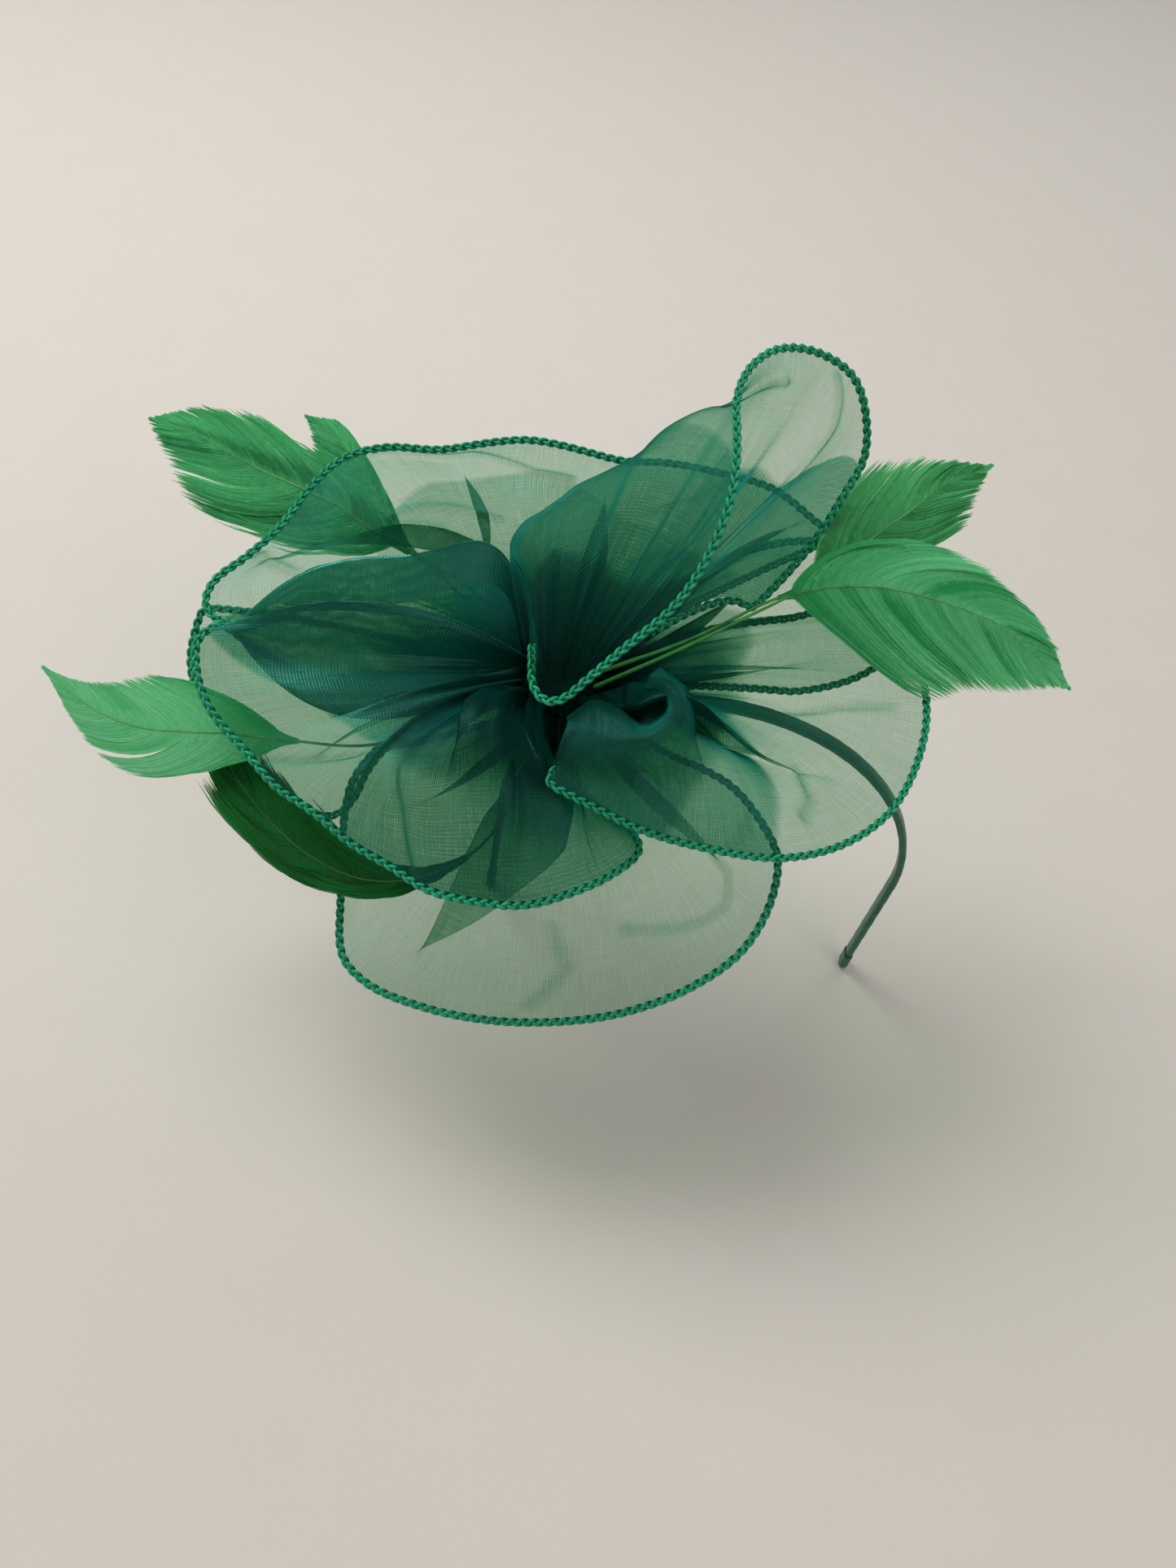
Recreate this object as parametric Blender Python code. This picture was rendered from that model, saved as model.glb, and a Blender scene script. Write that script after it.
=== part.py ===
"""Green organza fascinator: wired organza loops and feathers on a satin-covered head band.

Frame, in metres: +Z runs from the band tips up to the crown of the head, +X is the wearer's left,
-Y is the face side.  The origin is the middle of the backing pad's underside, where the piece rests
on the head.  Everything is laid out in millimetres in the band's frame, whose origin is midway
between the two band tips, and moved to that origin when it is placed.  The gathered flower sits on
the wearer's right and is laid out in its own frame: A runs along +X, B runs back and up across the
flower, and LIFT stands off its plane towards the front.
"""

import math

import bmesh
import bpy
from mathutils import Vector

for old in list(bpy.data.objects):
    bpy.data.objects.remove(old, do_unlink=True)

MM = 0.001
GAP = 0.3

# head band
BAND_RADIUS = 72.0
BAND_CENTRE_Z = 58.0
HINGE_ANGLE = 75.0
HINGE_GAP = 1.0
CORE_WIDTH = 3.8
CORE_THICK = 1.4
RIBBON_THICK = 0.4
CAP_LENGTH = 9.0
CAP_THICK = 0.5

# base under the flower
PAD_ANGLE = -45.0
PAD_RADIUS = 16.0
PAD_THICK = 1.6
BACKING_THICK = 1.2
PAD_CLEARANCE = GAP + 0.1
STITCH_COUNT = 6
STITCH_RADIUS = 0.35

# flower
FLOWER_CENTRE = Vector((-58.0, -4.0, 127.0))
FLOWER_TILT = 38.7
ORGANZA_THICK = 0.4
STEM_RADII = [5.5, 5.5, 5.6, 6.0, 6.8, 7.6, 8.2, 8.5, 8.5, 8.2, 7.2]
CORD_RADIUS = 1.15
CORD_INSET = 2.0
VANE_THICK = 0.4
VANE_CAMBER = 0.12

tilt = math.radians(FLOWER_TILT)
AXIS_A = Vector((1.0, 0.0, 0.0))
AXIS_B = Vector((0.0, math.cos(tilt), math.sin(tilt)))
AXIS_LIFT = Vector((0.0, -math.sin(tilt), math.cos(tilt)))

# One entry per organza loop.  ROOT is the gathered edge at the flower's heart.  EDGE pairs each
# point of the corded outer edge with the point the cloth passes through half way out to it.
# Every point is (a, b, lift) in millimetres.
LOOPS = {
    "front_brim": {
        "root": [(-6, -8, -4), (3, -10, -4), (9, -4, -3)],
        "edge": [
            ((-51, -32, 5), (-32, -24, 3)),
            ((-56, -44, 6), (-35, -32, 5)),
            ((-55, -61, 8), (-36, -40, 7)),
            ((-51, -79, 10), (-32, -49, 9)),
            ((-45, -97, 14), (-26, -58, 12)),
            ((-37, -102, 15), (-19, -61, 13)),
            ((-18, -105, 17), (-10, -64, 15)),
            ((2, -104, 19), (0, -65, 17)),
            ((21, -100, 20), (15, -63, 19)),
            ((39, -93, 22), (27, -59, 21)),
            ((58, -80, 25), (38, -51, 22)),
            ((70, -66, 26), (45, -44, 22)),
            ((75, -50, 25), (48, -35, 21)),
            ((74, -37, 24), (48, -29, 19)),
            ((67, -28, 22), (44, -23, 17)),
            ((57, -20, 19), (39, -16, 13)),
            ((45, -16, 15), (33, -13, 8)),
        ],
        "grid": (18, 6),
        "cord_steps": 32,
    },
    "right_loop": {
        "root": [(6, -8, 5), (9, -5, 5), (10, 0, 5), (9, 5, 5)],
        "edge": [
            ((4, -31, 49), (8, -19, 42)),
            ((16, -34, 47), (11, -14, 46)),
            ((33, -38, 44), (19, -8, 46)),
            ((52, -39, 40), (31, -5, 43)),
            ((74, -37, 35), (45, -7, 35)),
            ((92, -29, 28), (53, -5, 26)),
            ((104, -17, 22), (56, 0, 20)),
            ((110, -2, 16), (58, 5, 15)),
            ((111, 15, 11), (59, 10, 12)),
            ((106, 30, 8), (57, 16, 9)),
            ((97, 42, 6), (53, 22, 7)),
            ((85, 55, 4), (48, 26, 6)),
            ((74, 61, 3), (44, 29, 5)),
            ((64, 60, 3), (39, 31, 5)),
            ((51, 55, 3), (34, 30, 4)),
            ((39, 47, 3), (28, 26, 4)),
            ((32, 39, 3), (23, 21, 4)),
        ],
        "grid": (22, 7),
        "cord_steps": 36,
    },
    "tall_loop": {
        "root": [(-8, 6, 9), (-5, 9, 9), (0, 10, 8), (5, 9, 8), (8, 7, 8)],
        "edge": [
            ((-4, -5, 50), (-11, 12, 44)),
            ((-2, -10, 52), (-15, 20, 44)),
            ((4, -8, 52), (-18, 26, 45)),
            ((9, -1, 53), (-19, 31, 45)),
            ((16, 8, 55), (-18, 38, 46)),
            ((28, 24, 58), (-8, 50, 46)),
            ((34, 43, 61), (5, 60, 45)),
            ((35, 57, 61), (14, 68, 43)),
            ((33, 70, 59), (22, 71, 41)),
            ((31, 80, 56), (28, 73, 37)),
            ((33, 91, 51), (35, 74, 32)),
            ((40, 100, 45), (40, 74, 28)),
            ((52, 104, 38), (46, 75, 24)),
            ((64, 102, 31), (49, 72, 21)),
            ((71, 94, 24), (51, 70, 18)),
            ((74, 84, 18), (52, 67, 15)),
            ((71, 73, 14), (51, 61, 12)),
            ((67, 61, 11), (48, 53, 10)),
            ((60, 47, 10), (44, 45, 10)),
            ((52, 34, 9), (37, 32, 9)),
        ],
        "grid": (28, 8),
        "cord_steps": 44,
    },
    "left_loop": {
        "root": [(-9, 5, 5), (-10, 0, 5), (-9, -5, 5), (-4, -9, 5), (2, -10, 5)],
        "edge": [
            ((-92, -6, 28), (-55, 1, 25)),
            ((-100, -8, 29), (-56, -2, 26)),
            ((-104, -13, 30), (-56, -6, 26)),
            ((-103, -20, 30), (-56, -10, 26)),
            ((-99, -28, 31), (-54, -14, 27)),
            ((-92, -35, 32), (-51, -19, 28)),
            ((-83, -41, 33), (-48, -23, 30)),
            ((-72, -49, 34), (-46, -27, 33)),
            ((-59, -54, 35), (-43, -29, 36)),
            ((-47, -60, 36), (-38, -29, 39)),
            ((-34, -64, 37), (-32, -27, 42)),
            ((-22, -68, 38), (-25, -23, 44)),
            ((-8, -68, 39), (-18, -18, 45)),
            ((5, -66, 40), (-12, -16, 45)),
            ((17, -60, 38), (-7, -16, 42)),
            ((28, -52, 34), (-2, -19, 37)),
            ((34, -44, 29), (1, -23, 31)),
            ((30, -39, 24), (3, -25, 25)),
            ((22, -36, 20), (3, -23, 17)),
        ],
        "grid": (26, 7),
        "cord_steps": 42,
    },
    "back_brim": {
        "root": [(-10, 3, 2), (-9, 5, 2), (-6, 8, 1), (-1, 10, 0), (5, 9, 0)],
        "edge": [
            ((-95, -7, 20), (-54, 7, 18)),
            ((-102, -6, 20), (-56, 9, 18)),
            ((-108, -2, 19), (-59, 11, 18)),
            ((-108, 5, 17), (-60, 14, 17)),
            ((-101, 15, 14), (-59, 18, 15)),
            ((-94, 27, 10), (-56, 24, 13)),
            ((-88, 43, 6), (-51, 31, 11)),
            ((-82, 53, 3), (-46, 36, 9)),
            ((-71, 60, 0), (-41, 40, 7)),
            ((-54, 64, -3), (-34, 43, 5)),
            ((-40, 70, -5), (-27, 45, 4)),
            ((-28, 74, -6), (-21, 47, 3)),
            ((-17, 75, -7), (-13, 48, 2)),
            ((-8, 75, -8), (-7, 48, 1)),
            ((3, 75, -9), (0, 48, 0)),
            ((16, 78, -11), (8, 49, -3)),
            ((37, 79, -12), (20, 50, -4)),
            ((53, 78, -13), (30, 48, -5)),
            ((68, 71, -13), (37, 44, -6)),
            ((76, 67, -13), (41, 40, -6)),
        ],
        "grid": (25, 6),
        "cord_steps": 38,
    },
    "left_under": {
        "root": [(-10, 1, -1), (-10, -2, -1), (-8, -6, -1)],
        "edge": [
            ((-113, -2, 6), (-68, 2, 5)),
            ((-114, -8, 5), (-68, 0, 5)),
            ((-114, -18, 4), (-69, -6, 4)),
            ((-110, -28, 4), (-66, -12, 4)),
            ((-104, -37, 4), (-62, -17, 4)),
            ((-94, -46, 3), (-58, -21, 3)),
            ((-81, -53, 2), (-54, -24, 2)),
            ((-69, -57, 0), (-50, -26, 0)),
            ((-60, -56, -1), (-47, -26, -1)),
            ((-55, -48, -1), (-43, -24, -2)),
        ],
        "grid": (11, 5),
        "cord_steps": 18,
    },
    "right_under": {
        "root": [(10, 2, 0), (10, 4, 0), (9, 6, 0)],
        "edge": [
            ((72, 14, -3), (41, 9, -1)),
            ((82, 18, -4), (46, 12, -1)),
            ((92, 24, -4), (49, 16, -2)),
            ((99, 32, -5), (51, 20, -2)),
            ((100, 38, -6), (50, 23, -3)),
            ((95, 43, -7), (47, 26, -3)),
            ((86, 45, -8), (43, 27, -4)),
            ((76, 42, -8), (39, 26, -4)),
            ((66, 37, -8), (34, 24, -4)),
        ],
        "grid": (12, 4),
        "cord_steps": 22,
    },
}

# One entry per feather: (a, b, lift, vane width on the left, vane width on the right), walking
# from the root at the flower's heart out to the tip.
FEATHERS = {
    "back_feather": [
        (-9, 8, -5, 0, 0),
        (-38, 25, -8, 0, 0),
        (-58, 32, -10, 1, 1),
        (-68, 43, -11, 6, 2),
        (-77, 52, -12, 10, 3),
        (-85, 59, -12, 12, 4),
        (-92, 64, -12, 10, 5),
        (-100, 67, -12, 3, 2),
    ],
    "back_plume": [
        (-10, 4, -3, 0, 0),
        (-38, 21, -4, 0, 0),
        (-60, 33, -5, 1, 1),
        (-70, 35, -5, 4, 4),
        (-82, 40, -6, 10, 7),
        (-95, 43, -6, 15, 9),
        (-109, 46, -7, 17, 12),
        (-117, 48, -7, 18, 13),
        (-130, 52, -7, 17, 11),
        (-147, 54, -7, 7, 4),
    ],
    "left_feather": [
        (-10, -3, 2, 0, 0),
        (-30, -19, 9, 0, 0),
        (-52, -32, 14, 0, 0),
        (-76, -36, 17, 1, 1),
        (-94, -38, 18, 8, 8),
        (-105, -40, 18, 11, 12),
        (-121, -42, 16, 13, 15),
        (-138, -39, 14, 7, 8),
        (-154, -31, 12, 1, 1),
    ],
    "front_feather": [
        (-2, -11, 1, 0, 0),
        (-5, -33, 10, 0, 0),
        (-12, -54, 21, 0, 0),
        (-26, -66, 25, 2, 2),
        (-43, -71, 22, 6, 6),
        (-61, -69, 19, 9, 9),
        (-78, -62, 15, 10, 10),
        (-94, -52, 12, 8, 8),
        (-104, -39, 9, 1, 1),
    ],
    "right_feather": [
        (9, 4, 12, 0, 0),
        (36, 21, 14, 0, 0),
        (55, 36, 16, 0, 0),
        (65, 43, 15, 1, 1),
        (74, 54, 13, 5, 1),
        (80, 60, 12, 10, 2),
        (87, 68, 11, 18, 7),
        (94, 76, 10, 17, 13),
        (100, 84, 8, 10, 15),
        (115, 95, 5, 2, 4),
    ],
    "right_plume": [
        (10, 0, 12, 0, 0),
        (36, 19, 16, 0, 0),
        (55, 34, 19, 0, 0),
        (63, 40, 20, 1, 1),
        (79, 46, 20, 11, 12),
        (96, 48, 19, 14, 21),
        (112, 47, 18, 14, 25),
        (125, 45, 16, 10, 21),
        (140, 38, 14, 8, 14),
        (151, 32, 12, 2, 4),
    ],
}
QUILL_RADII = (0.9, 0.35)
# feathers bound in one spray turn about the root of the feather named here
SPRAY_ROOT = {"back_feather": "back_plume", "right_feather": "right_plume"}


def flower(point):
    """World position, in millimetres, of a point given in the flower's frame."""
    a, b, lift = point
    return FLOWER_CENTRE + AXIS_A * a + AXIS_B * b + AXIS_LIFT * lift


def knots(points):
    """Running distance along a row of points, used as the spacing of a smooth curve."""
    spans = [0.0]
    for near, far in zip(points, points[1:]):
        spans.append(spans[-1] + (far - near).length ** 0.8)
    return spans


def smooth(points, spans, count):
    """Sample a smooth curve through the points at `count` even steps of the spans."""
    slopes = []
    last = len(points) - 1
    for i in range(len(points)):
        if i == 0:
            slopes.append((points[1] - points[0]) / (spans[1] - spans[0]))
        elif i == last:
            slopes.append((points[last] - points[last - 1]) / (spans[last] - spans[last - 1]))
        else:
            before = spans[i] - spans[i - 1]
            after = spans[i + 1] - spans[i]
            rise = (points[i + 1] - points[i]) / after * before
            rise = rise + (points[i] - points[i - 1]) / before * after
            slopes.append(rise / (before + after))
    samples = []
    for step in range(count):
        t = spans[-1] * step / (count - 1)
        i = 0
        while i < last - 1 and spans[i + 1] <= t:
            i += 1
        width = spans[i + 1] - spans[i]
        s = (t - spans[i]) / width
        start = points[i] * (2 * s ** 3 - 3 * s ** 2 + 1)
        start = start + slopes[i] * (width * (s ** 3 - 2 * s ** 2 + s))
        end = points[i + 1] * (3 * s ** 2 - 2 * s ** 3)
        end = end + slopes[i + 1] * (width * (s ** 3 - s ** 2))
        samples.append(start + end)
    return samples


def material(name, colour, roughness, metallic=0.0):
    made = bpy.data.materials.new(name)
    made.use_nodes = True
    shader = made.node_tree.nodes["Principled BSDF"]
    shader.inputs["Base Color"].default_value = (*colour, 1.0)
    shader.inputs["Roughness"].default_value = roughness
    shader.inputs["Metallic"].default_value = metallic
    return made


def place(name, vertices, faces, surface, origin=None, soft=True):
    """Make one closed, outward-facing object; `origin` is its pivot, all in millimetres."""
    pivot = origin if origin is not None else REST_POINT
    mesh = bpy.data.meshes.new(name)
    mesh.from_pydata([tuple((v - pivot) * MM) for v in vertices], [], faces)
    shell = bmesh.new()
    shell.from_mesh(mesh)
    bmesh.ops.recalc_face_normals(shell, faces=shell.faces)
    if shell.calc_volume(signed=True) < 0.0:
        bmesh.ops.reverse_faces(shell, faces=shell.faces)
    shell.to_mesh(mesh)
    shell.free()
    for polygon in mesh.polygons:
        polygon.use_smooth = soft
    mesh.materials.append(surface)
    made = bpy.data.objects.new(name, mesh)
    made.location = (pivot - REST_POINT) * MM
    bpy.context.scene.collection.objects.link(made)
    return made


def sheet(name, rows, thickness, surface, origin=None):
    """Give a grid of points an even thickness and close it all round."""
    across = len(rows)
    along = len(rows[0])
    upper = []
    lower = []
    for i in range(across):
        for j in range(along):
            side = rows[min(i + 1, across - 1)][j] - rows[max(i - 1, 0)][j]
            run = rows[i][min(j + 1, along - 1)] - rows[i][max(j - 1, 0)]
            normal = side.cross(run).normalized()
            upper.append(rows[i][j] + normal * (thickness / 2))
            lower.append(rows[i][j] - normal * (thickness / 2))
    count = across * along
    faces = []
    for i in range(across - 1):
        for j in range(along - 1):
            corner = i * along + j
            across_corner = corner + along + 1
            # both skins are split along the same diagonal, so the wall keeps its thickness
            for half in ((corner, corner + along, across_corner), (corner, across_corner, corner + 1)):
                faces.append(half)
                faces.append(tuple(count + v for v in reversed(half)))
    rim = [i * along for i in range(across)]
    rim += [(across - 1) * along + j for j in range(1, along)]
    rim += [i * along + along - 1 for i in range(across - 2, -1, -1)]
    rim += [j for j in range(along - 2, 0, -1)]
    for here, there in zip(rim, rim[1:] + rim[:1]):
        faces.append((here, there, count + there, count + here))
    return place(name, upper + lower, faces, surface, origin)


def frames(path, start):
    """Tangent, side and up at every point of a path, carried along without twist."""
    result = []
    up = start
    for i in range(len(path)):
        tangent = (path[min(i + 1, len(path) - 1)] - path[max(i - 1, 0)]).normalized()
        up = (up - tangent * up.dot(tangent)).normalized()
        result.append((tangent, tangent.cross(up), up))
    return result


def tube(name, path, radii, sides, surface, origin=None):
    """Sweep a round section along a path."""
    carried = frames(path, AXIS_LIFT)
    vertices = []
    for centre, radius, (tangent, side, up) in zip(path, radii, carried):
        for k in range(sides):
            turn = 2 * math.pi * k / sides
            vertices.append(centre + side * (radius * math.cos(turn)) + up * (radius * math.sin(turn)))
    faces = []
    rings = len(path)
    for i in range(rings - 1):
        for k in range(sides):
            near = i * sides
            far = near + sides
            faces.append((near + k, near + (k + 1) % sides, far + (k + 1) % sides, far + k))
    faces.append(tuple(reversed(range(sides))))
    faces.append(tuple((rings - 1) * sides + k for k in range(sides)))
    return place(name, vertices, faces, surface, origin)


def band_point(angle):
    """Centre line of the band; the angle is measured from the crown, positive to the left."""
    turn = math.radians(angle)
    return Vector((BAND_RADIUS * math.sin(turn), 0.0, BAND_CENTRE_Z + BAND_RADIUS * math.cos(turn)))


def band_run(start, stop, steps):
    """Centre points and outward directions along the arched part of the band."""
    run = []
    for step in range(steps + 1):
        angle = start + (stop - start) * step / steps
        turn = math.radians(angle)
        run.append((band_point(angle), Vector((math.sin(turn), 0.0, math.cos(turn)))))
    return run


def arm_run(side, low):
    """Centre points and outward directions down one arm, from its hinge to height `low`."""
    start = HINGE_ANGLE + math.degrees(HINGE_GAP / 2 / BAND_RADIUS)
    run = band_run(side * start, side * 90.0, 3)
    outward = Vector((side, 0.0, 0.0))
    for share in (1 / 3, 2 / 3, 1.0):
        z = BAND_CENTRE_Z + (low - BAND_CENTRE_Z) * share
        run.append((Vector((side * BAND_RADIUS, 0.0, z)), outward))
    return run


def strap(name, run, width, thick, surface, origin=None, hollow=0.0):
    """Sweep a flat section along the band; `hollow` is the wall of a sleeve, 0 for a solid."""
    across = Vector((0.0, 1.0, 0.0))
    loops = [(width / 2, thick / 2)]
    if hollow:
        loops.append((width / 2 - hollow, thick / 2 - hollow))
    vertices = []
    for centre, outward in run:
        for half, deep in loops:
            for y, r in ((-half, -deep), (half, -deep), (half, deep), (-half, deep)):
                vertices.append(centre + across * y + outward * r)
    block = 4 * len(loops)
    faces = []
    for i in range(len(run) - 1):
        for loop in range(len(loops)):
            base = i * block + loop * 4
            for k in range(4):
                m = (k + 1) % 4
                faces.append((base + k, base + m, base + block + m, base + block + k))
    for end in (0, len(run) - 1):
        base = end * block
        if hollow:
            for k in range(4):
                m = (k + 1) % 4
                faces.append((base + k, base + m, base + 4 + m, base + 4 + k))
        else:
            faces.append(tuple(base + k for k in range(4)))
    return place(name, vertices, faces, surface, origin, soft=False)


def tip_cap(name, side, surface, origin):
    """Folded ribbon end: a square cup over the sleeve, closed at the bottom."""
    inner = (sleeve_width / 2 + GAP, sleeve_thick / 2 + GAP)
    outer = (inner[0] + CAP_THICK, inner[1] + CAP_THICK)
    floor = CAP_THICK
    levels = [(outer, 0.0), (outer, CAP_LENGTH), (inner, CAP_LENGTH), (inner, floor)]
    vertices = []
    for (half, deep), z in levels:
        for y, r in ((-half, -deep), (half, -deep), (half, deep), (-half, deep)):
            vertices.append(Vector((side * BAND_RADIUS + r, y, z)))
    faces = [(0, 1, 2, 3), (12, 13, 14, 15)]
    for level in range(3):
        for k in range(4):
            m = (k + 1) % 4
            base = level * 4
            faces.append((base + k, base + m, base + 4 + m, base + 4 + k))
    return place(name, vertices, faces, surface, origin, soft=False)


def disc(name, centre, axis, radius, thick, surface):
    """Flat felt disc with a softened edge; the centre is that of its lower face."""
    side = axis.cross(Vector((0.0, 1.0, 0.0))).normalized()
    up = axis.cross(side)
    profile = ((radius - 0.5, 0.0), (radius, 0.5), (radius, thick - 0.5), (radius - 0.5, thick))
    sides = 28
    vertices = []
    for reach, rise in profile:
        for k in range(sides):
            turn = 2 * math.pi * k / sides
            spoke = side * math.cos(turn) + up * math.sin(turn)
            vertices.append(centre + axis * rise + spoke * reach)
    faces = [tuple(range(sides)), tuple(3 * sides + k for k in range(sides))]
    for ring in range(3):
        for k in range(sides):
            m = (k + 1) % sides
            base = ring * sides
            faces.append((base + k, base + m, base + sides + m, base + sides + k))
    return place(name, vertices, faces, surface, soft=False)


organza = material("organza_green", (0.030, 0.190, 0.120), 0.55)
cord_thread = material("cord_green", (0.012, 0.160, 0.080), 0.40)
satin = material("satin_green", (0.015, 0.150, 0.085), 0.35)
felt = material("felt_green", (0.012, 0.090, 0.055), 0.95)
thread = material("thread_green", (0.020, 0.180, 0.100), 0.60)
spring = material("spring_steel", (0.420, 0.430, 0.440), 0.35, 1.0)
barbs = material("feather_green", (0.030, 0.330, 0.130), 0.60)
shaft = material("quill_green", (0.150, 0.420, 0.080), 0.45)

# sizes that several pieces share
sleeve_width = CORE_WIDTH + 2 * GAP + 2 * RIBBON_THICK
sleeve_thick = CORE_THICK + 2 * GAP + 2 * RIBBON_THICK
pad_axis = Vector((math.sin(math.radians(PAD_ANGLE)), 0.0, math.cos(math.radians(PAD_ANGLE))))
pad_side = pad_axis.cross(Vector((0.0, 1.0, 0.0))).normalized()
pad_up = pad_axis.cross(pad_side)
pad_middle = band_point(PAD_ANGLE)
# the band arches away under the backing pad, which lies flat below its lowest point
band_rise = BAND_RADIUS - math.sqrt(BAND_RADIUS ** 2 - PAD_RADIUS ** 2)
top_face = sleeve_thick / 2 + PAD_CLEARANCE
under_face = -sleeve_thick / 2 - PAD_CLEARANCE - band_rise
REST_POINT = pad_middle + pad_axis * (under_face - BACKING_THICK)

# head band: a flat spring core inside a satin sleeve, in a crown length and two flexing arms
edge_angle = HINGE_ANGLE - math.degrees(HINGE_GAP / 2 / BAND_RADIUS)
crown = band_run(-edge_angle, edge_angle, 20)
strap("band_core_crown", crown, CORE_WIDTH, CORE_THICK, spring)
strap("band_ribbon_crown", crown, sleeve_width, sleeve_thick, satin, hollow=RIBBON_THICK)
for side, word in ((-1, "right"), (1, "left")):
    hinge = band_point(side * HINGE_ANGLE)
    core_run = arm_run(side, CAP_THICK + 2 * GAP)
    strap("band_core_" + word, core_run, CORE_WIDTH, CORE_THICK, spring, hinge)
    sleeve_run = arm_run(side, CAP_THICK + GAP)
    strap("band_ribbon_" + word, sleeve_run, sleeve_width, sleeve_thick, satin, hinge, RIBBON_THICK)
    tip_cap("band_tip_" + word, side, satin, hinge)

# felt pads above and below the band, whipped together round their edges
disc("base_pad", pad_middle + pad_axis * top_face, pad_axis, PAD_RADIUS, PAD_THICK, felt)
disc("backing_pad", REST_POINT, pad_axis, PAD_RADIUS, BACKING_THICK, felt)
stitch_top = top_face + PAD_THICK + GAP + STITCH_RADIUS
stitch_low = under_face - BACKING_THICK + GAP
stitch_in = PAD_RADIUS - 2.6
stitch_out = PAD_RADIUS + GAP + STITCH_RADIUS
for number in range(STITCH_COUNT):
    turn = 2 * math.pi * (number + 0.5) / STITCH_COUNT
    spoke = pad_side * math.cos(turn) + pad_up * math.sin(turn)
    profile = (
        (stitch_in, stitch_top),
        (stitch_out - 0.6, stitch_top),
        (stitch_out, stitch_top - 0.6),
        (stitch_out, stitch_low),
    )
    path = [pad_middle + spoke * reach + pad_axis * rise for reach, rise in profile]
    tube("stitch_%d" % (number + 1), path, [STITCH_RADIUS] * len(path), 5, thread)

# thread-bound stem that rises from the pad and carries the gathered cloth
stem_start = pad_middle + pad_axis * (top_face + PAD_THICK + GAP + 0.3)
stem_points = [
    stem_start,
    stem_start + pad_axis * 4.0,
    flower((0.0, -2.0, -7.0)),
    flower((0.0, 0.0, 0.0)),
    flower((0.0, 0.0, 9.0)),
]
stem_path = smooth(stem_points, knots(stem_points), 10) + [flower((0.0, 0.0, 10.0))]
tube("gather_stem", stem_path, STEM_RADII, 14, thread)
knot_path = [flower((0.0, 0.0, 10.0 + GAP + lift)) for lift in (0.3, 1.2, 2.6, 3.4)]
tube("gather_knot", knot_path, [4.6, 5.6, 5.0, 3.0], 12, organza)

# organza loops with a cord along every outer edge
for name, loop in LOOPS.items():
    rim_points = [flower(edge) for edge, middle in loop["edge"]]
    middle_points = [flower(middle) for edge, middle in loop["edge"]]
    root_points = [flower(point) for point in loop["root"]]
    spans = knots(rim_points)
    across, along = loop["grid"]
    rims = smooth(rim_points, spans, across)
    middles = smooth(middle_points, spans, across)
    roots = smooth(root_points, knots(root_points), across)
    rows = []
    for rim, middle, root, (along_cord, side, up) in zip(rims, middles, roots, frames(rims, AXIS_LIFT)):
        inward = middle - rim
        inward = inward - along_cord * inward.dot(along_cord)
        outer = rim + inward.normalized() * CORD_INSET
        belly = middle * 2 - (root + outer) * 0.5
        row = []
        for step in range(along):
            v = step / (along - 1)
            row.append(root * (1 - v) ** 2 + belly * (2 * v * (1 - v)) + outer * v ** 2)
        rows.append(row)
    sheet(name, rows, ORGANZA_THICK, organza)
    cord_path = smooth(rim_points, spans, loop["cord_steps"])
    tube(name + "_cord", cord_path, [CORD_RADIUS] * len(cord_path), 5, cord_thread)

# feathers: a tapering quill lying on a thin cambered vane, both turning about the quill's root
for name, stations in FEATHERS.items():
    quill_points = [flower(station[:3]) for station in stations]
    pivot = flower(FEATHERS[SPRAY_ROOT.get(name, name)][0][:3])
    spans = knots(quill_points)
    steps = len(stations) + 2
    path = smooth(quill_points, spans, steps)
    radii = []
    for step in range(steps):
        share = step / (steps - 1)
        radii.append(QUILL_RADII[0] + (QUILL_RADII[1] - QUILL_RADII[0]) * share)
    tube(name + "_quill", path, radii, 5, shaft, pivot)
    first = max(i for i, station in enumerate(stations) if station[3] == 0) + 1
    vane_points = quill_points[first:]
    widths = [Vector((station[3], station[4], 0.0)) for station in stations[first:]]
    vane_spans = knots(vane_points)
    centres = smooth(vane_points, vane_spans, 10)
    spreads = smooth(widths, vane_spans, 10)
    drop = QUILL_RADII[0] + GAP + VANE_THICK / 2
    rows = []
    for centre, spread, (tangent, side, up) in zip(centres, spreads, frames(centres, AXIS_LIFT)):
        row = []
        for reach in (-spread[0], -spread[0] * 0.45, spread[1] * 0.45, spread[1]):
            sag = drop + abs(reach) * VANE_CAMBER
            row.append(centre + side * reach - AXIS_LIFT * sag)
        rows.append(row)
    sheet(name + "_vane", rows, VANE_THICK, barbs, pivot)
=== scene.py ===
"""Looks of the green organza fascinator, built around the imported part.

Shapes are laid out in millimetres.  The band's frame has its origin midway between the band tips,
+Z up to the crown, +X to the wearer's left and -Y to the face.  The flower's frame lies in it: A
runs along +X, B back and up across the flower, LIFT off its plane towards the front.  A mesh is
moved to the part's origin, the middle of the backing pad's underside, and to metres when it is made.
"""

import math

import bpy
import numpy as np
from mathutils import Matrix, Vector

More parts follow.
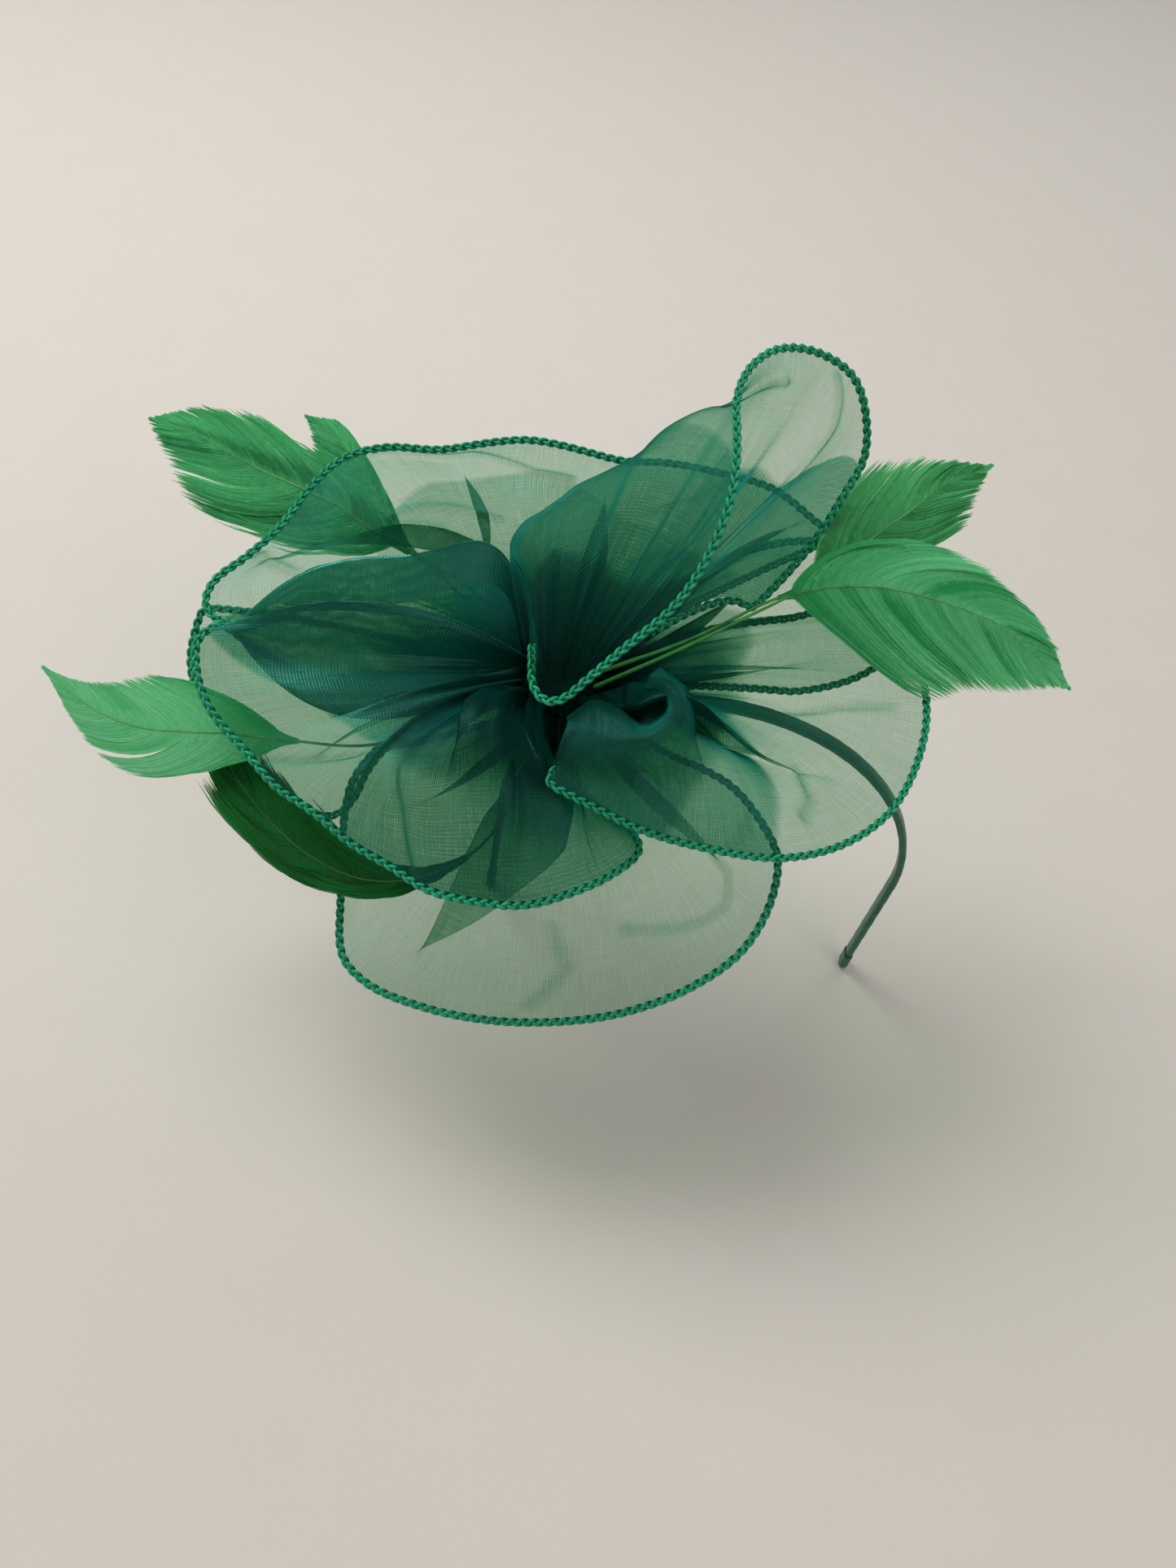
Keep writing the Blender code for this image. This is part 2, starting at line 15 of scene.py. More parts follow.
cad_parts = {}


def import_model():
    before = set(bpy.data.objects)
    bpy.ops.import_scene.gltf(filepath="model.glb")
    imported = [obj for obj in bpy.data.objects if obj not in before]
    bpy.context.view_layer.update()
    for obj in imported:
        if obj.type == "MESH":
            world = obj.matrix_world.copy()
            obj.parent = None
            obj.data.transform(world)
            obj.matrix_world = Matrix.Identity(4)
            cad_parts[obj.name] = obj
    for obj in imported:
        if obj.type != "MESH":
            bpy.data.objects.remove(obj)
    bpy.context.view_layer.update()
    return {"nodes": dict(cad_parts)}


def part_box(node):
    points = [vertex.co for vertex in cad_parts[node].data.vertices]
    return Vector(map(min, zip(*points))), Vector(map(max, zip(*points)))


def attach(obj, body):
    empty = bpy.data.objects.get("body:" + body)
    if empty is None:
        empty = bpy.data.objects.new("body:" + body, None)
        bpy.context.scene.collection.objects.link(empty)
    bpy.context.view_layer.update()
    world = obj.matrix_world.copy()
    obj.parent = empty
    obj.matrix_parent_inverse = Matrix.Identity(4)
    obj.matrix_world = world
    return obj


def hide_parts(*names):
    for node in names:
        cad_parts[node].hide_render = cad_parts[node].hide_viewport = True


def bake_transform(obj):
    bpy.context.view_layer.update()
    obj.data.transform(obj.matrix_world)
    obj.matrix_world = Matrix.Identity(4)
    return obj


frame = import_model()

MM = 0.001
FULL_TURN = 2 * math.pi
random = np.random.default_rng(7)

# head band and pads
crown_low, crown_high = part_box("band_ribbon_crown")
left_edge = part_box("band_ribbon_left")[1].x
right_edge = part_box("band_ribbon_right")[0].x
tip_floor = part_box("band_tip_left")[0].z
BAND_WIDTH = (crown_high.y - crown_low.y) / MM
BAND_THICK = 2.8
BAND_RADIUS = (left_edge - right_edge) / MM / 2 - BAND_THICK / 2
BAND_CENTRE_Z = (crown_high.z - tip_floor) / MM - BAND_THICK / 2 - BAND_RADIUS
WINDING_PITCH = 8.5
PAD_ANGLE = -45.0
PAD_AXIS = np.array([math.sin(math.radians(PAD_ANGLE)), 0.0, math.cos(math.radians(PAD_ANGLE))])
BASE_THICK = 1.6
BACKING_THICK = 1.2
PAD_SWELL = 0.0004
# the part's origin in the band's frame
REST_POINT = -np.array([(left_edge + right_edge) / 2, 0.0, tip_floor]) / MM
REST_OFFSET = Vector(REST_POINT * MM)

# flower frame
FLOWER_CENTRE = np.array([-58.0, -4.0, 127.0])
FLOWER_TILT = math.radians(38.7)
AXIS_A = np.array([1.0, 0.0, 0.0])
AXIS_B = np.array([0.0, math.cos(FLOWER_TILT), math.sin(FLOWER_TILT)])
AXIS_LIFT = np.array([0.0, -math.sin(FLOWER_TILT), math.cos(FLOWER_TILT)])
FLOWER_AXES = np.array([AXIS_A, AXIS_B, AXIS_LIFT])
# "up" for anything laid out in the flower's own frame
LIFT = np.array([0.0, 0.0, 1.0])

# One entry per organza loop: ROOT is the gathered edge at the flower's heart, in (a, b, lift) mm.
# Each row of EDGE is a point of the corded outer edge, then the point the cloth passes through half
# way out to it.
LOOPS = {
    "front_brim": {
        "root": [(-6, -8, -4), (3, -10, -4), (9, -4, -3)],
        "edge": [
            (-51, -32, 5, -32, -24, 3), (-56, -44, 6, -35, -32, 5), (-55, -61, 8, -36, -40, 7),
            (-51, -79, 10, -32, -49, 9), (-45, -97, 14, -26, -58, 12), (-37, -102, 15, -19, -61, 13),
            (-18, -105, 17, -10, -64, 15), (2, -104, 19, 0, -65, 17), (21, -100, 20, 15, -63, 19),
            (39, -93, 22, 27, -59, 21), (58, -80, 25, 38, -51, 22), (70, -66, 26, 45, -44, 22),
            (75, -50, 25, 48, -35, 21), (74, -37, 24, 48, -29, 19), (67, -28, 22, 44, -23, 17),
            (57, -20, 19, 39, -16, 13), (45, -16, 15, 33, -13, 8),
        ],
    },
    "right_loop": {
        "root": [(6, -8, 5), (9, -5, 5), (10, 0, 5), (9, 5, 5)],
        "edge": [
            (4, -31, 49, 9, -12, 46), (16, -34, 47, 17, -13, 47), (33, -38, 44, 26, -12, 48),
            (52, -39, 40, 33, -4, 46), (74, -37, 35, 40, -3, 40), (92, -29, 28, 46, -4, 31),
            (104, -17, 22, 52, -1, 22), (110, -2, 16, 58, 5, 15), (111, 15, 11, 59, 10, 12),
            (106, 30, 8, 57, 16, 9), (97, 42, 6, 53, 22, 7), (85, 55, 4, 48, 26, 6),
            (74, 61, 3, 44, 29, 5), (64, 60, 3, 39, 31, 5), (51, 55, 3, 34, 30, 4),
            (39, 47, 3, 28, 26, 4), (32, 39, 3, 23, 21, 4),
        ],
    },
    "tall_loop": {
        "root": [(-7, -3, 12), (-3, -5, 12), (3, -4, 12), (7, 1, 10), (9, 5, 9)],
        "edge": [
            (-6.9, -0.5, 49, -11, 13, 40), (-6.3, -4.2, 49.5, -12, 15, 40),
            (-4.3, -7.7, 50.5, -13, 18, 40), (-1.4, -9.6, 51.5, -15, 21, 40),
            (2.3, -8.8, 52, -17, 25, 41), (9, -1, 53, -19, 31, 41), (16, 8, 55, -18, 38, 42),
            (28, 24, 58, -8, 50, 43), (34, 43, 61, 5, 60, 43), (35, 57, 61, 14, 68, 42),
            (33, 70, 59, 22, 71, 41), (31, 80, 56, 28, 73, 37), (33, 91, 51, 35, 74, 32),
            (40, 100, 45, 40, 74, 28), (52, 104, 38, 46, 75, 24), (64, 102, 31, 49, 72, 21),
            (71, 94, 24, 51, 70, 18), (74, 84, 18, 52, 67, 15), (71, 73, 14, 51, 61, 12),
            (67, 61, 11, 48, 53, 10), (60, 47, 10, 44, 45, 10), (52, 34, 9, 37, 32, 9),
        ],
    },
    "left_loop": {
        "root": [(-9, 5, 5), (-10, 0, 5), (-9, -5, 5), (-4, -9, 5), (2, -10, 5)],
        "edge": [
            (-94.5, -9, 26, -56, -14.5, 22), (-95.2, -8.6, 26.4, -54, -25, 21),
            (-96, -8, 27, -56, -5, 23), (-97, -7.5, 28, -54, 8, 31), (-100, -8, 29, -56, 0, 30),
            (-104, -13, 30, -56, -6, 26), (-103, -20, 30, -56, -10, 26), (-99, -28, 31, -54, -14, 27),
            (-92, -35, 32, -51, -19, 28), (-83, -41, 33, -48, -23, 30), (-72, -49, 34, -46, -27, 33),
            (-59, -54, 35, -43, -29, 36), (-47, -60, 36, -38, -29, 39), (-34, -64, 37, -32, -27, 42),
            (-22, -68, 38, -25, -23, 44), (-8, -68, 39, -18, -18, 45), (5, -66, 40, -12, -16, 45),
            (17, -60, 38, -7, -16, 42), (28, -52, 34, -2, -19, 37), (34, -44, 29, 1, -23, 31),
            (30, -39, 24, 3, -25, 25), (22, -36, 20, 3, -23, 17),
        ],
    },
    "back_brim": {
        "root": [(-10, 3, 2), (-9, 5, 2), (-6, 8, 1), (-1, 10, 0), (5, 9, 0)],
        "edge": [
            (-95.5, -7.5, 21, -55, 8, 24), (-97, -6.5, 21.5, -56, 22, 27), (-98.5, -5.5, 21, -55, 13, 20),
            (-100, -5.5, 20, -55, 8, 17), (-104, -5.5, 20, -56, 9, 18), (-108, -2, 19, -59, 11, 18),
            (-108, 5, 17, -60, 14, 17), (-101, 15, 14, -59, 18, 15), (-94, 27, 10, -56, 24, 13),
            (-88, 43, 6, -51, 31, 11), (-82, 53, 3, -46, 36, 9), (-71, 60, 0, -41, 40, 7),
            (-54, 64, -3, -34, 43, 5), (-40, 70, -5, -27, 45, 4), (-28, 74, -6, -21, 47, 3),
            (-17, 75, -7, -13, 48, 2), (-8, 75, -8, -7, 48, 1), (3, 75, -9, 0, 48, 0),
            (16, 78, -11, 8, 49, -3), (37, 79, -12, 20, 50, -4), (53, 78, -13, 30, 48, -5),
            (68, 71, -13, 37, 44, -6), (76, 67, -13, 41, 40, -6),
        ],
    },
    "left_under": {
        "root": [(-10, 1, -1), (-10, -2, -1), (-8, -6, -1)],
        "edge": [
            (-113, -2, 6, -68, 2, 5), (-114, -8, 5, -68, 0, 5), (-114, -18, 4, -69, -6, 4),
            (-110, -28, 4, -66, -12, 4), (-104, -37, 4, -62, -17, 4), (-94, -46, 3, -58, -21, 3),
            (-81, -53, 2, -54, -24, 2), (-69, -57, 0, -50, -26, 0), (-60, -56, -1, -47, -26, -1),
            (-55, -48, -1, -43, -24, -2),
        ],
    },
    "right_under": {
        "root": [(10, 2, 0), (10, 4, 0), (9, 6, 0)],
        "edge": [
            (72, 14, -3, 41, 9, -1), (82, 18, -4, 46, 12, -1), (92, 24, -4, 49, 16, -2),
            (99, 32, -5, 51, 20, -2), (100, 38, -6, 50, 23, -3), (95, 43, -7, 47, 26, -3),
            (86, 45, -8, 43, 27, -4), (76, 42, -8, 39, 26, -4), (66, 37, -8, 34, 24, -4),
        ],
    },
}

# One entry per feather, from its root at the heart to its tip: (a, b, lift, width of the vane on the
# left and on the right) in mm.
FEATHERS = {
    "back_feather": [
        (-9, 8, -5, 0, 0), (-38, 25, -8, 0, 0), (-58, 32, -10, 1, 1), (-68, 43, -11, 6, 2),
        (-77, 52, -12, 10, 3), (-85, 59, -12, 12, 4), (-92, 64, -12, 10, 5), (-100, 67, -12, 3, 2),
    ],
    "back_plume": [
        (-10, 4, -3, 0, 0), (-38, 21, -4, 0, 0), (-60, 33, -5, 1, 1), (-70, 35, -5, 4, 4),
        (-82, 40, -6, 10, 7), (-95, 43, -6, 15, 9), (-109, 46, -7, 17, 12), (-117, 48, -7, 18, 13),
        (-130, 52, -7, 17, 11), (-147, 54, -7, 7, 4),
    ],
    "left_feather": [
        (-10, -3, 2, 0, 0), (-30, -19, 9, 0, 0), (-52, -32, 14, 0, 0), (-76, -36, 17, 1, 1),
        (-94, -38, 18, 8, 8), (-105, -40, 18, 11, 12), (-121, -42, 16, 13, 15), (-138, -39, 14, 7, 8),
        (-154, -31, 12, 1, 1),
    ],
    "front_feather": [
        (-2, -11, 1, 0, 0), (-5, -33, 10, 0, 0), (-12, -54, 21, 0, 0), (-26, -66, 25, 2, 2),
        (-43, -71, 22, 4, 5), (-61, -68, 19, 6, 8), (-77, -60, 15, 8, 8), (-91, -49, 12, 8, 8),
        (-103, -34, 9, 7, 7),
    ],
    "right_feather": [
        (9, 4, 12, 0, 0), (36, 21, 14, 0, 0), (55, 36, 16, 0, 0), (65, 43, 15, 1, 1),
        (74, 54, 13, 3.5, 1), (80, 60, 11, 9, 2), (87, 68, 9.5, 17, 7), (94, 76, 10, 17, 13),
        (100, 84, 8, 10, 15), (115, 95, 5, 2, 4),
    ],
    "right_plume": [
        (10, 0, 12, 0, 0), (36, 19, 16, 0, 0), (55, 34, 19, 0, 0), (63, 40, 20, 1, 1),
        (79, 46, 20, 11, 12), (96, 48, 19, 14, 21), (112, 47, 18, 14, 25), (125, 45, 16, 10, 21),
        (140, 38, 14, 8, 14), (151, 32, 12, 2, 4),
    ],
}

# ---------------------------------------------------------------- sizes and folds

# feathers, in mm: radius of the quill at its root and tip, barbs, and threads of colour per barb
QUILL_RADII = (0.8, 0.12)
BARB_SPACING = 0.42
BARB_HALF_WIDTH = 0.7
BARB_SEGMENTS = 9
BARB_THREADS = 0.8
# each feather's spray, how ragged its edge is, how closely its barbs lie along the quill, and its
# darker and lighter green
FEATHER_LOOK = {
    "back_feather": ("back_spray", 0.7, 1.25, (0.015, 0.33, 0.09), (0.2, 1.0, 0.42)),
    "back_plume": ("back_spray", 0.9, 1.35, (0.008, 0.27, 0.075), (0.18, 0.98, 0.39)),
    "left_feather": ("left_feather", 0.35, 1.15, (0.06, 0.62, 0.2), (0.38, 1.0, 0.58)),
    "front_feather": ("front_feather", 2.2, 2.3, (0.0, 0.035, 0.002), (0.0, 0.32, 0.045)),
    "right_feather": ("right_spray", 0.9, 1.3, (0.012, 0.22, 0.06), (0.17, 0.86, 0.32)),
    "right_plume": ("right_spray", 0.5, 1.15, (0.02, 0.44, 0.13), (0.28, 1.0, 0.5)),
}
# darker bands where a vane folds over itself: (side, middle and half length along the vane, start
# and end along each barb, darkness)
FEATHER_BANDS = {
    "right_plume": [
        (0, 0.55, 0.22, 0.1, 1.1, 0.55), (1, 0.3, 0.05, 0.0, 1.1, 0.5), (1, 0.62, 0.04, 0.1, 0.9, 0.5),
    ],
    "right_feather": [(0, 0.75, 0.2, 0.3, 1.1, 0.3), (1, 0.35, 0.25, 0.5, 1.1, 0.35)],
    "back_plume": [
        (1, 0.6, 0.4, 0.0, 0.4, 0.55), (0, 0.25, 0.08, 0.2, 1.1, 0.45), (0, 0.72, 0.06, 0.3, 1.1, 0.5),
    ],
    "left_feather": [
        (1, 0.55, 0.08, 0.3, 1.1, 0.35), (0, 0.4, 0.05, 0.2, 0.9, 0.35), (1, 0.05, 0.12, 0.0, 1.1, 0.5),
    ],
    "front_feather": [(0, 0.45, 0.25, 0.2, 0.8, 0.3)],
}

# Z-shaped pleats: (u at the tip, drift of u towards the root, half width, tip v, growth, height in mm)
PLEATS = {
    "front_brim": [
        (0.327, 0.17, 0.1, 0.8, 4.8, 3.0), (0.79, 0.0, 0.045, 0.66, 5.0, 2.0),
        (0.12, 0.1, 0.05, 0.62, 4.0, 2.0), (0.61, 0.1, 0.05, 0.5, 5.0, 1.6),
    ],
    "right_loop": [
        (0.38, -0.45, 0.08, 0.76, 7.0, 2.4), (0.62, -0.05, 0.045, 0.55, 5.0, 1.8),
        (0.83, 0.0, 0.06, 0.62, 5.0, 2.0),
    ],
    "tall_loop": [(0.88, 0.02, 0.045, 0.7, 5.0, 2.0)],
    "left_loop": [
        (0.24, 0.0, 0.05, 0.6, 5.0, 2.0), (0.44, -0.05, 0.045, 0.62, 5.0, 2.0),
        (0.62, 0.0, 0.05, 0.55, 5.0, 2.0), (0.82, 0.0, 0.045, 0.6, 5.0, 2.0),
    ],
    "back_brim": [
        (0.16, 0.4, 0.06, 0.86, 3.5, 2.6), (0.47, 0.0, 0.05, 0.78, 4.0, 2.2),
        (0.7, 0.05, 0.05, 0.72, 4.0, 2.0), (0.88, 0.0, 0.04, 0.6, 4.0, 1.6),
    ],
    "left_under": [(0.3, 0.1, 0.07, 0.7, 4.0, 1.8), (0.7, -0.05, 0.07, 0.75, 4.0, 1.8)],
    "right_under": [(0.3, 0.0, 0.08, 0.8, 4.0, 1.6), (0.7, 0.0, 0.07, 0.72, 4.0, 1.6)],
}
# share of each side edge, measured inwards from the rim, that the cord also follows
CORD_TAILS = {
    "front_brim": (0.85, 0.85),
    "right_loop": (0.1, 0.8),
    "tall_loop": (0.12, 0.8),
    "left_loop": (0.25, 0.45),
    "back_brim": (0.2, 0.8),
    "left_under": (0.8, 0.8),
    "right_under": (0.8, 0.8),
}
# where folded cloth lies in several thicknesses: (extra layers, painted light and shade as a factor on the
# cloth's colour, above 1 a painted highlight and below 1 a painted shade, softness of the fold's edge
# in v, line of (u, v) below which the cloth is folded)
TALL_FOLD = [(0.552, 0.456), (0.725, 0.494), (0.765, 0.663), (0.79, 0.95), (1.0, 1.1)]
FOLDED = {
    "front_brim": [(1.5, 1.0, 0.2, [(0.0, 0.3), (1.0, 0.3)])],
    "right_loop": [
        (2.0, 0.8, 0.1, [(0.0, 1.2), (0.1, 1.2), (0.17, 0.86), (0.24, 0.68), (0.4, 0.47), (1.0, 0.36)]),
        (1.8, 1.5, 0.08, [
            (0.0, 1.2), (0.22, 1.2), (0.27, 0.95), (0.32, 0.78), (0.37, 0.58), (0.5, 0.3), (1.0, 0.3),
        ]),
        (3.0, 0.55, 0.12, [(0.0, 0.66), (0.3, 0.58), (0.44, 0.34), (0.6, 0.25), (1.0, 0.25)]),
        (1.6, 1.0, 0.05, [(0.5, 0.0), (0.6, 0.42), (0.7, 0.54), (0.8, 0.58), (0.9, 0.52), (1.0, 0.4)]),
    ],
    "tall_loop": [
        (1.3, 1.6, 0.03, [(0.0, 0.62), (0.42, 0.56)] + TALL_FOLD),
        (1.2, 1.2, 0.03, [(0.45, 0.0), (0.5, 0.5)] + TALL_FOLD),
        (3.4, 0.6, 0.03, [
            (0.1, 0.12), (0.184, 0.2), (0.252, 0.263), (0.31, 0.231), (0.378, 0.197), (0.45, 0.178),
            (0.6, 0.2), (1.0, 0.33),
        ]),
    ],
    "left_loop": [
        (2.6, 1.5, 0.03, [
            (0.0, 1.2), (0.06, 1.0), (0.136, 0.82), (0.178, 0.71), (0.26, 0.62), (0.416, 0.49),
            (0.5, 0.45), (0.6, 0.0),
        ]),
        (3.0, 0.45, 0.12, [(0.3, 0.0), (0.4, 0.45), (0.5, 0.58), (0.6, 0.68), (0.75, 0.74), (1.0, 0.8)]),
        (1.7, 1.1, 0.08, [(0.38, 0.0), (0.46, 1.1), (1.0, 1.2)]),
        (2.0, 1.0, 0.2, [(0.0, 0.4), (1.0, 0.4)]),
    ],
    "back_brim": [
        (2.4, 2.2, 0.05, [(0.0, 1.2), (0.05, 1.2), (0.06, 0.2), (0.1, 0.0)]),
        (1.0, 1.0, 0.03, [
            (0.1, 0.3), (0.2, 0.55), (0.28, 0.64), (0.4, 0.72), (0.58, 0.76), (0.64, 0.76),
            (0.75, 0.6), (1.0, 0.5),
        ]),
        (2.0, 1.2, 0.2, [(0.0, 0.28), (1.0, 0.28)]),
        (1.5, 1.0, 0.05, [(0.74, 0.0), (0.8, 0.42), (0.9, 0.55), (1.0, 0.6)]),
    ],
    "left_under": [(2.0, 1.0, 0.2, [(0.0, 0.3), (1.0, 0.3)])],
    "right_under": [(2.0, 1.0, 0.1, [(0.0, 0.4), (0.5, 0.52), (1.0, 0.4)])],
}
# soft creases, as lines of (u, v)
CREASES = {
    "front_brim": [
        [(0.6, 0.64), (0.677, 0.725), (0.753, 0.775), (0.787, 0.706), (0.793, 0.588)],
        [(0.9, 0.93), (0.87, 0.8), (0.83, 0.68)],
        [(0.48, 0.93), (0.52, 0.76), (0.5, 0.6)],
    ],
    "right_loop": [
        [(0.39, 0.76), (0.36, 0.86), (0.33, 0.9)],
        [(0.56, 0.9), (0.54, 0.74), (0.5, 0.62)],
        [(0.7, 0.86), (0.72, 0.7), (0.76, 0.56)],
    ],
    "tall_loop": [
        [(0.42, 0.731), (0.5, 0.745), (0.568, 0.769)],
        [(0.65, 0.9), (0.7, 0.74), (0.73, 0.56)],
    ],
    "left_loop": [
        [(0.3, 0.95), (0.33, 0.78), (0.38, 0.62)],
        [(0.56, 0.96), (0.54, 0.8), (0.5, 0.64)],
        [(0.7, 0.95), (0.74, 0.82), (0.76, 0.68)],
    ],
    "back_brim": [
        [(0.38, 0.944), (0.492, 0.906), (0.583, 0.763), (0.64, 0.763)],
        [(0.304, 0.65), (0.5, 0.519)],
        [(0.301, 0.6), (0.4, 0.4)],
        [(0.164, 0.938), (0.118, 0.744)],
        [(0.85, 0.94), (0.83, 0.78), (0.78, 0.64)],
    ],
}
# creases: how much wider the cloth runs in u than in v, half width in v, height in mm, layers added
CREASE_STRETCH = 2.5
CREASE_WIDTH = 0.022
CREASE_HEIGHT = 1.2
CREASE_LAYERS = 0.55
# where the cloth puffs out: (u, v, spread in u, spread in v, (a, b, lift) in mm), and the v by which
# a swell starts near the root
SWELLS = {"back_brim": [(0.009, 0.17, 0.022, 0.2, (2.0, 17.0, 16.0))]}
SWELL_ROOT = 0.06
# the start of the right loop curls over into a small horn: rows from its dark throat out over the
# lip to its skirt, which melts into the loop, with the thickness of cloth and its painted light and
# shade in each row: painted shade in the throat, a painted highlight over the lip
ROLL = [
    [
        (15.5, -10, 30), (17.5, -8, 28), (20.5, -6.5, 26), (23, -5, 25),
        (24.5, -3.5, 25), (25, -2, 25), (24, -1, 25), (22.5, -1, 26),
    ],
    [
        (6, -11.5, 45), (11, -6, 46), (18, -6, 44), (26, -8.5, 42),
        (30.5, -4, 41), (30, -1.5, 41), (28, 0, 41), (24.5, 0, 40),
    ],
    [
        (6, -14, 50), (13, -13, 53), (21, -13.5, 54), (28.5, -10.5, 54),
        (32, -5.5, 53), (31.5, -1.5, 51), (28.5, 1, 49), (24.5, 1, 47),
    ],
    [
        (5.5, -18, 52), (12.5, -18.5, 54.5), (22, -18, 55), (32, -13.5, 55),
        (36, -6.5, 53), (35, 0, 51), (30.5, 4, 49), (25, 4, 47),
    ],
    [
        (5, -22.5, 52), (12.5, -24.5, 53.5), (23.5, -24, 53.5), (36.5, -19, 51.5),
        (40.5, -12, 47), (40, -4, 43), (36, 3.5, 42), (27.5, 7.5, 41),
    ],
    [
        (4, -28, 50.5), (12.5, -28.5, 52), (24.5, -29, 51.5), (41, -24.5, 49),
        (46, -18.5, 45), (39, -4.5, 30), (35, 3, 30), (27.5, 6.5, 30),
    ],
]
ROLL_LIP = 2
ROLL_LAYERS = (6.0, 3.2, 2.2, 1.7, 1.5, 0.0)
ROLL_PAINTED_LIGHT = (0.2, 0.6, 1.7, 1.4, 1.1, 1.0)
ROLL_GRID = (120, 90)
ROLL_THREADS = 12.0
# plaited cord, in mm: length of one turn of a strand, its radius, sway and rise, the distance between
# its rings, how it closes at its ends, and how far the loose tails drop under the cloth
CORD_LINK = 9.4
STRAND_RADIUS = 0.52
STRAND_SWAY = 0.8
STRAND_RISE = 0.48
STRAND_RING = 0.42
STRAND_END = (0.05, 0.4)
TAIL_DROP = 5.0
# within this distance of the heart the cloth is drawn tight and dense, and painted shade darkens it
# towards the heart
HEART_REACH = 34.0
HEART_LAYERS = 9.0
# columns and rows of each loop's mesh
LOOP_GRID = (360, 90)
SMALL_GRIDS = {"left_under": (150, 40), "right_under": (130, 40)}
# small step in u and v used to find which way the cloth faces
NUDGE = 1e-3
# tubes are drawn in to this share of their radius at their ends
PINCH = 0.05
# satin on the band, in mm: rings apart, corners of its section, how square the section is, and how it
# closes at its tip
BAND_RING = 0.35
BAND_CORNERS = 28
BAND_SQUARE = 0.55
BAND_END = np.array([[0.2], [0.8], [1.0]])
# folded ribbon end: its rings and length in mm, and how it swells over the band's width and thickness
FOLD_RINGS = 26
FOLD_LENGTH = 9.0
FOLD_SWELL = (1.14, 1.3)
# felt pad: radius, and height as a share of its thickness, of each ring from the middle of the
# underside round to the middle of the top; corners of a ring; roughness of the felt in metres
PAD_RINGS = [
    (0.6, -0.5), (4.0, -0.5), (7.5, -0.5), (11.0, -0.5), (13.5, -0.48), (15.2, -0.42), (15.7, -0.25),
    (15.9, 0.0), (15.7, 0.25), (15.2, 0.42), (13.5, 0.48), (11.0, 0.5), (7.5, 0.5), (4.0, 0.5), (0.6, 0.5),
]
PAD_CORNERS = 64
PAD_NAP = 0.00004
PUFF_FRAMES = 12
# thread wound round the stem, in mm between turns
WOUND_PITCH = 0.9
# floor, in mm: half its side, and how far under the band's tips it lies
FLOOR_HALF = 3000.0
FLOOR_DROP = 0.05


# ---------------------------------------------------------------- curves and meshes


def world(points):
    """Millimetres in the flower's frame to millimetres in the band's frame."""
    return FLOWER_CENTRE + np.asarray(points, float) @ FLOWER_AXES


def running(lengths):
    """Distance run before each step and after the last one."""
    return np.concatenate([[0.0], np.cumsum(lengths)])


def steps(points):
    """Distance from each point to the next."""
    return np.linalg.norm(np.diff(points, axis=0), axis=1)


def spacing(points):
    """Running distance along a row of points, used as the spacing of a smooth curve."""
    return running(steps(points) ** 0.8)


def smooth(points, spans, at):
    """A smooth curve through the points, read at any array of places along its spans."""
    points = np.asarray(points, float)
    widths = np.diff(spans)[:, None]
    rises = np.diff(points, axis=0) / widths
    slopes = np.empty_like(points)
    slopes[0] = rises[0]
    slopes[-1] = rises[-1]
    slopes[1:-1] = (rises[1:] * widths[:-1] + rises[:-1] * widths[1:]) / (widths[1:] + widths[:-1])
    i = np.clip(np.searchsorted(spans, at, side="right") - 1, 0, len(points) - 2)
    width = (spans[i + 1] - spans[i])[..., None]
    s = clamp((at[..., None] - spans[i][..., None]) / width)
    near = points[i] * (2 * s**3 - 3 * s**2 + 1) + slopes[i] * width * (s**3 - 2 * s**2 + s)
    far = points[i + 1] * (3 * s**2 - 2 * s**3) + slopes[i + 1] * width * (s**3 - s**2)
    return near + far


def unit(vectors):
    """The same directions at length one."""
    return vectors / np.maximum(np.linalg.norm(vectors, axis=-1, keepdims=True), 1e-9)


def read_along(at, run, rows):
    """The rows' values at places along their run, column by column."""
    return np.stack([np.interp(at, run, column) for column in rows.T], axis=-1)


def resample(path, step):
    """Even steps along a path, and the distance run at each."""
    run = running(steps(path))
    at = np.linspace(0.0, run[-1], max(2, int(run[-1] / step) + 1))
    return read_along(at, run, path), at


def relax(path, rounds):
    """Round the corners of a path, keeping its ends."""
    path = path.copy()
    for _ in range(rounds):
        path[1:-1] = 0.25 * path[:-2] + 0.5 * path[1:-1] + 0.25 * path[2:]
    return path


def carried(path, start):
    """Directions along, beside and above a path, carried without twist from the start direction."""
    tangents = unit(np.gradient(path, axis=0))
    ups = np.empty_like(path)
    up = np.asarray(start, float)
    for i, tangent in enumerate(tangents):
        up = up - tangent * up.dot(tangent)
        up = up / np.linalg.norm(up)
        ups[i] = up
    return tangents, np.cross(tangents, ups), ups


def around(count):
    """Even angles round a full turn, without the last one that meets the first."""
    return np.linspace(0.0, FULL_TURN, count, endpoint=False)


def clamp(x):
    """Held between 0 and 1."""
    return np.clip(x, 0.0, 1.0)


def paired(first, second):
    """Two arrays spread to one shape and given as (first, second) rows."""
    return np.stack(np.broadcast_arrays(first, second), axis=-1).reshape(-1, 2)


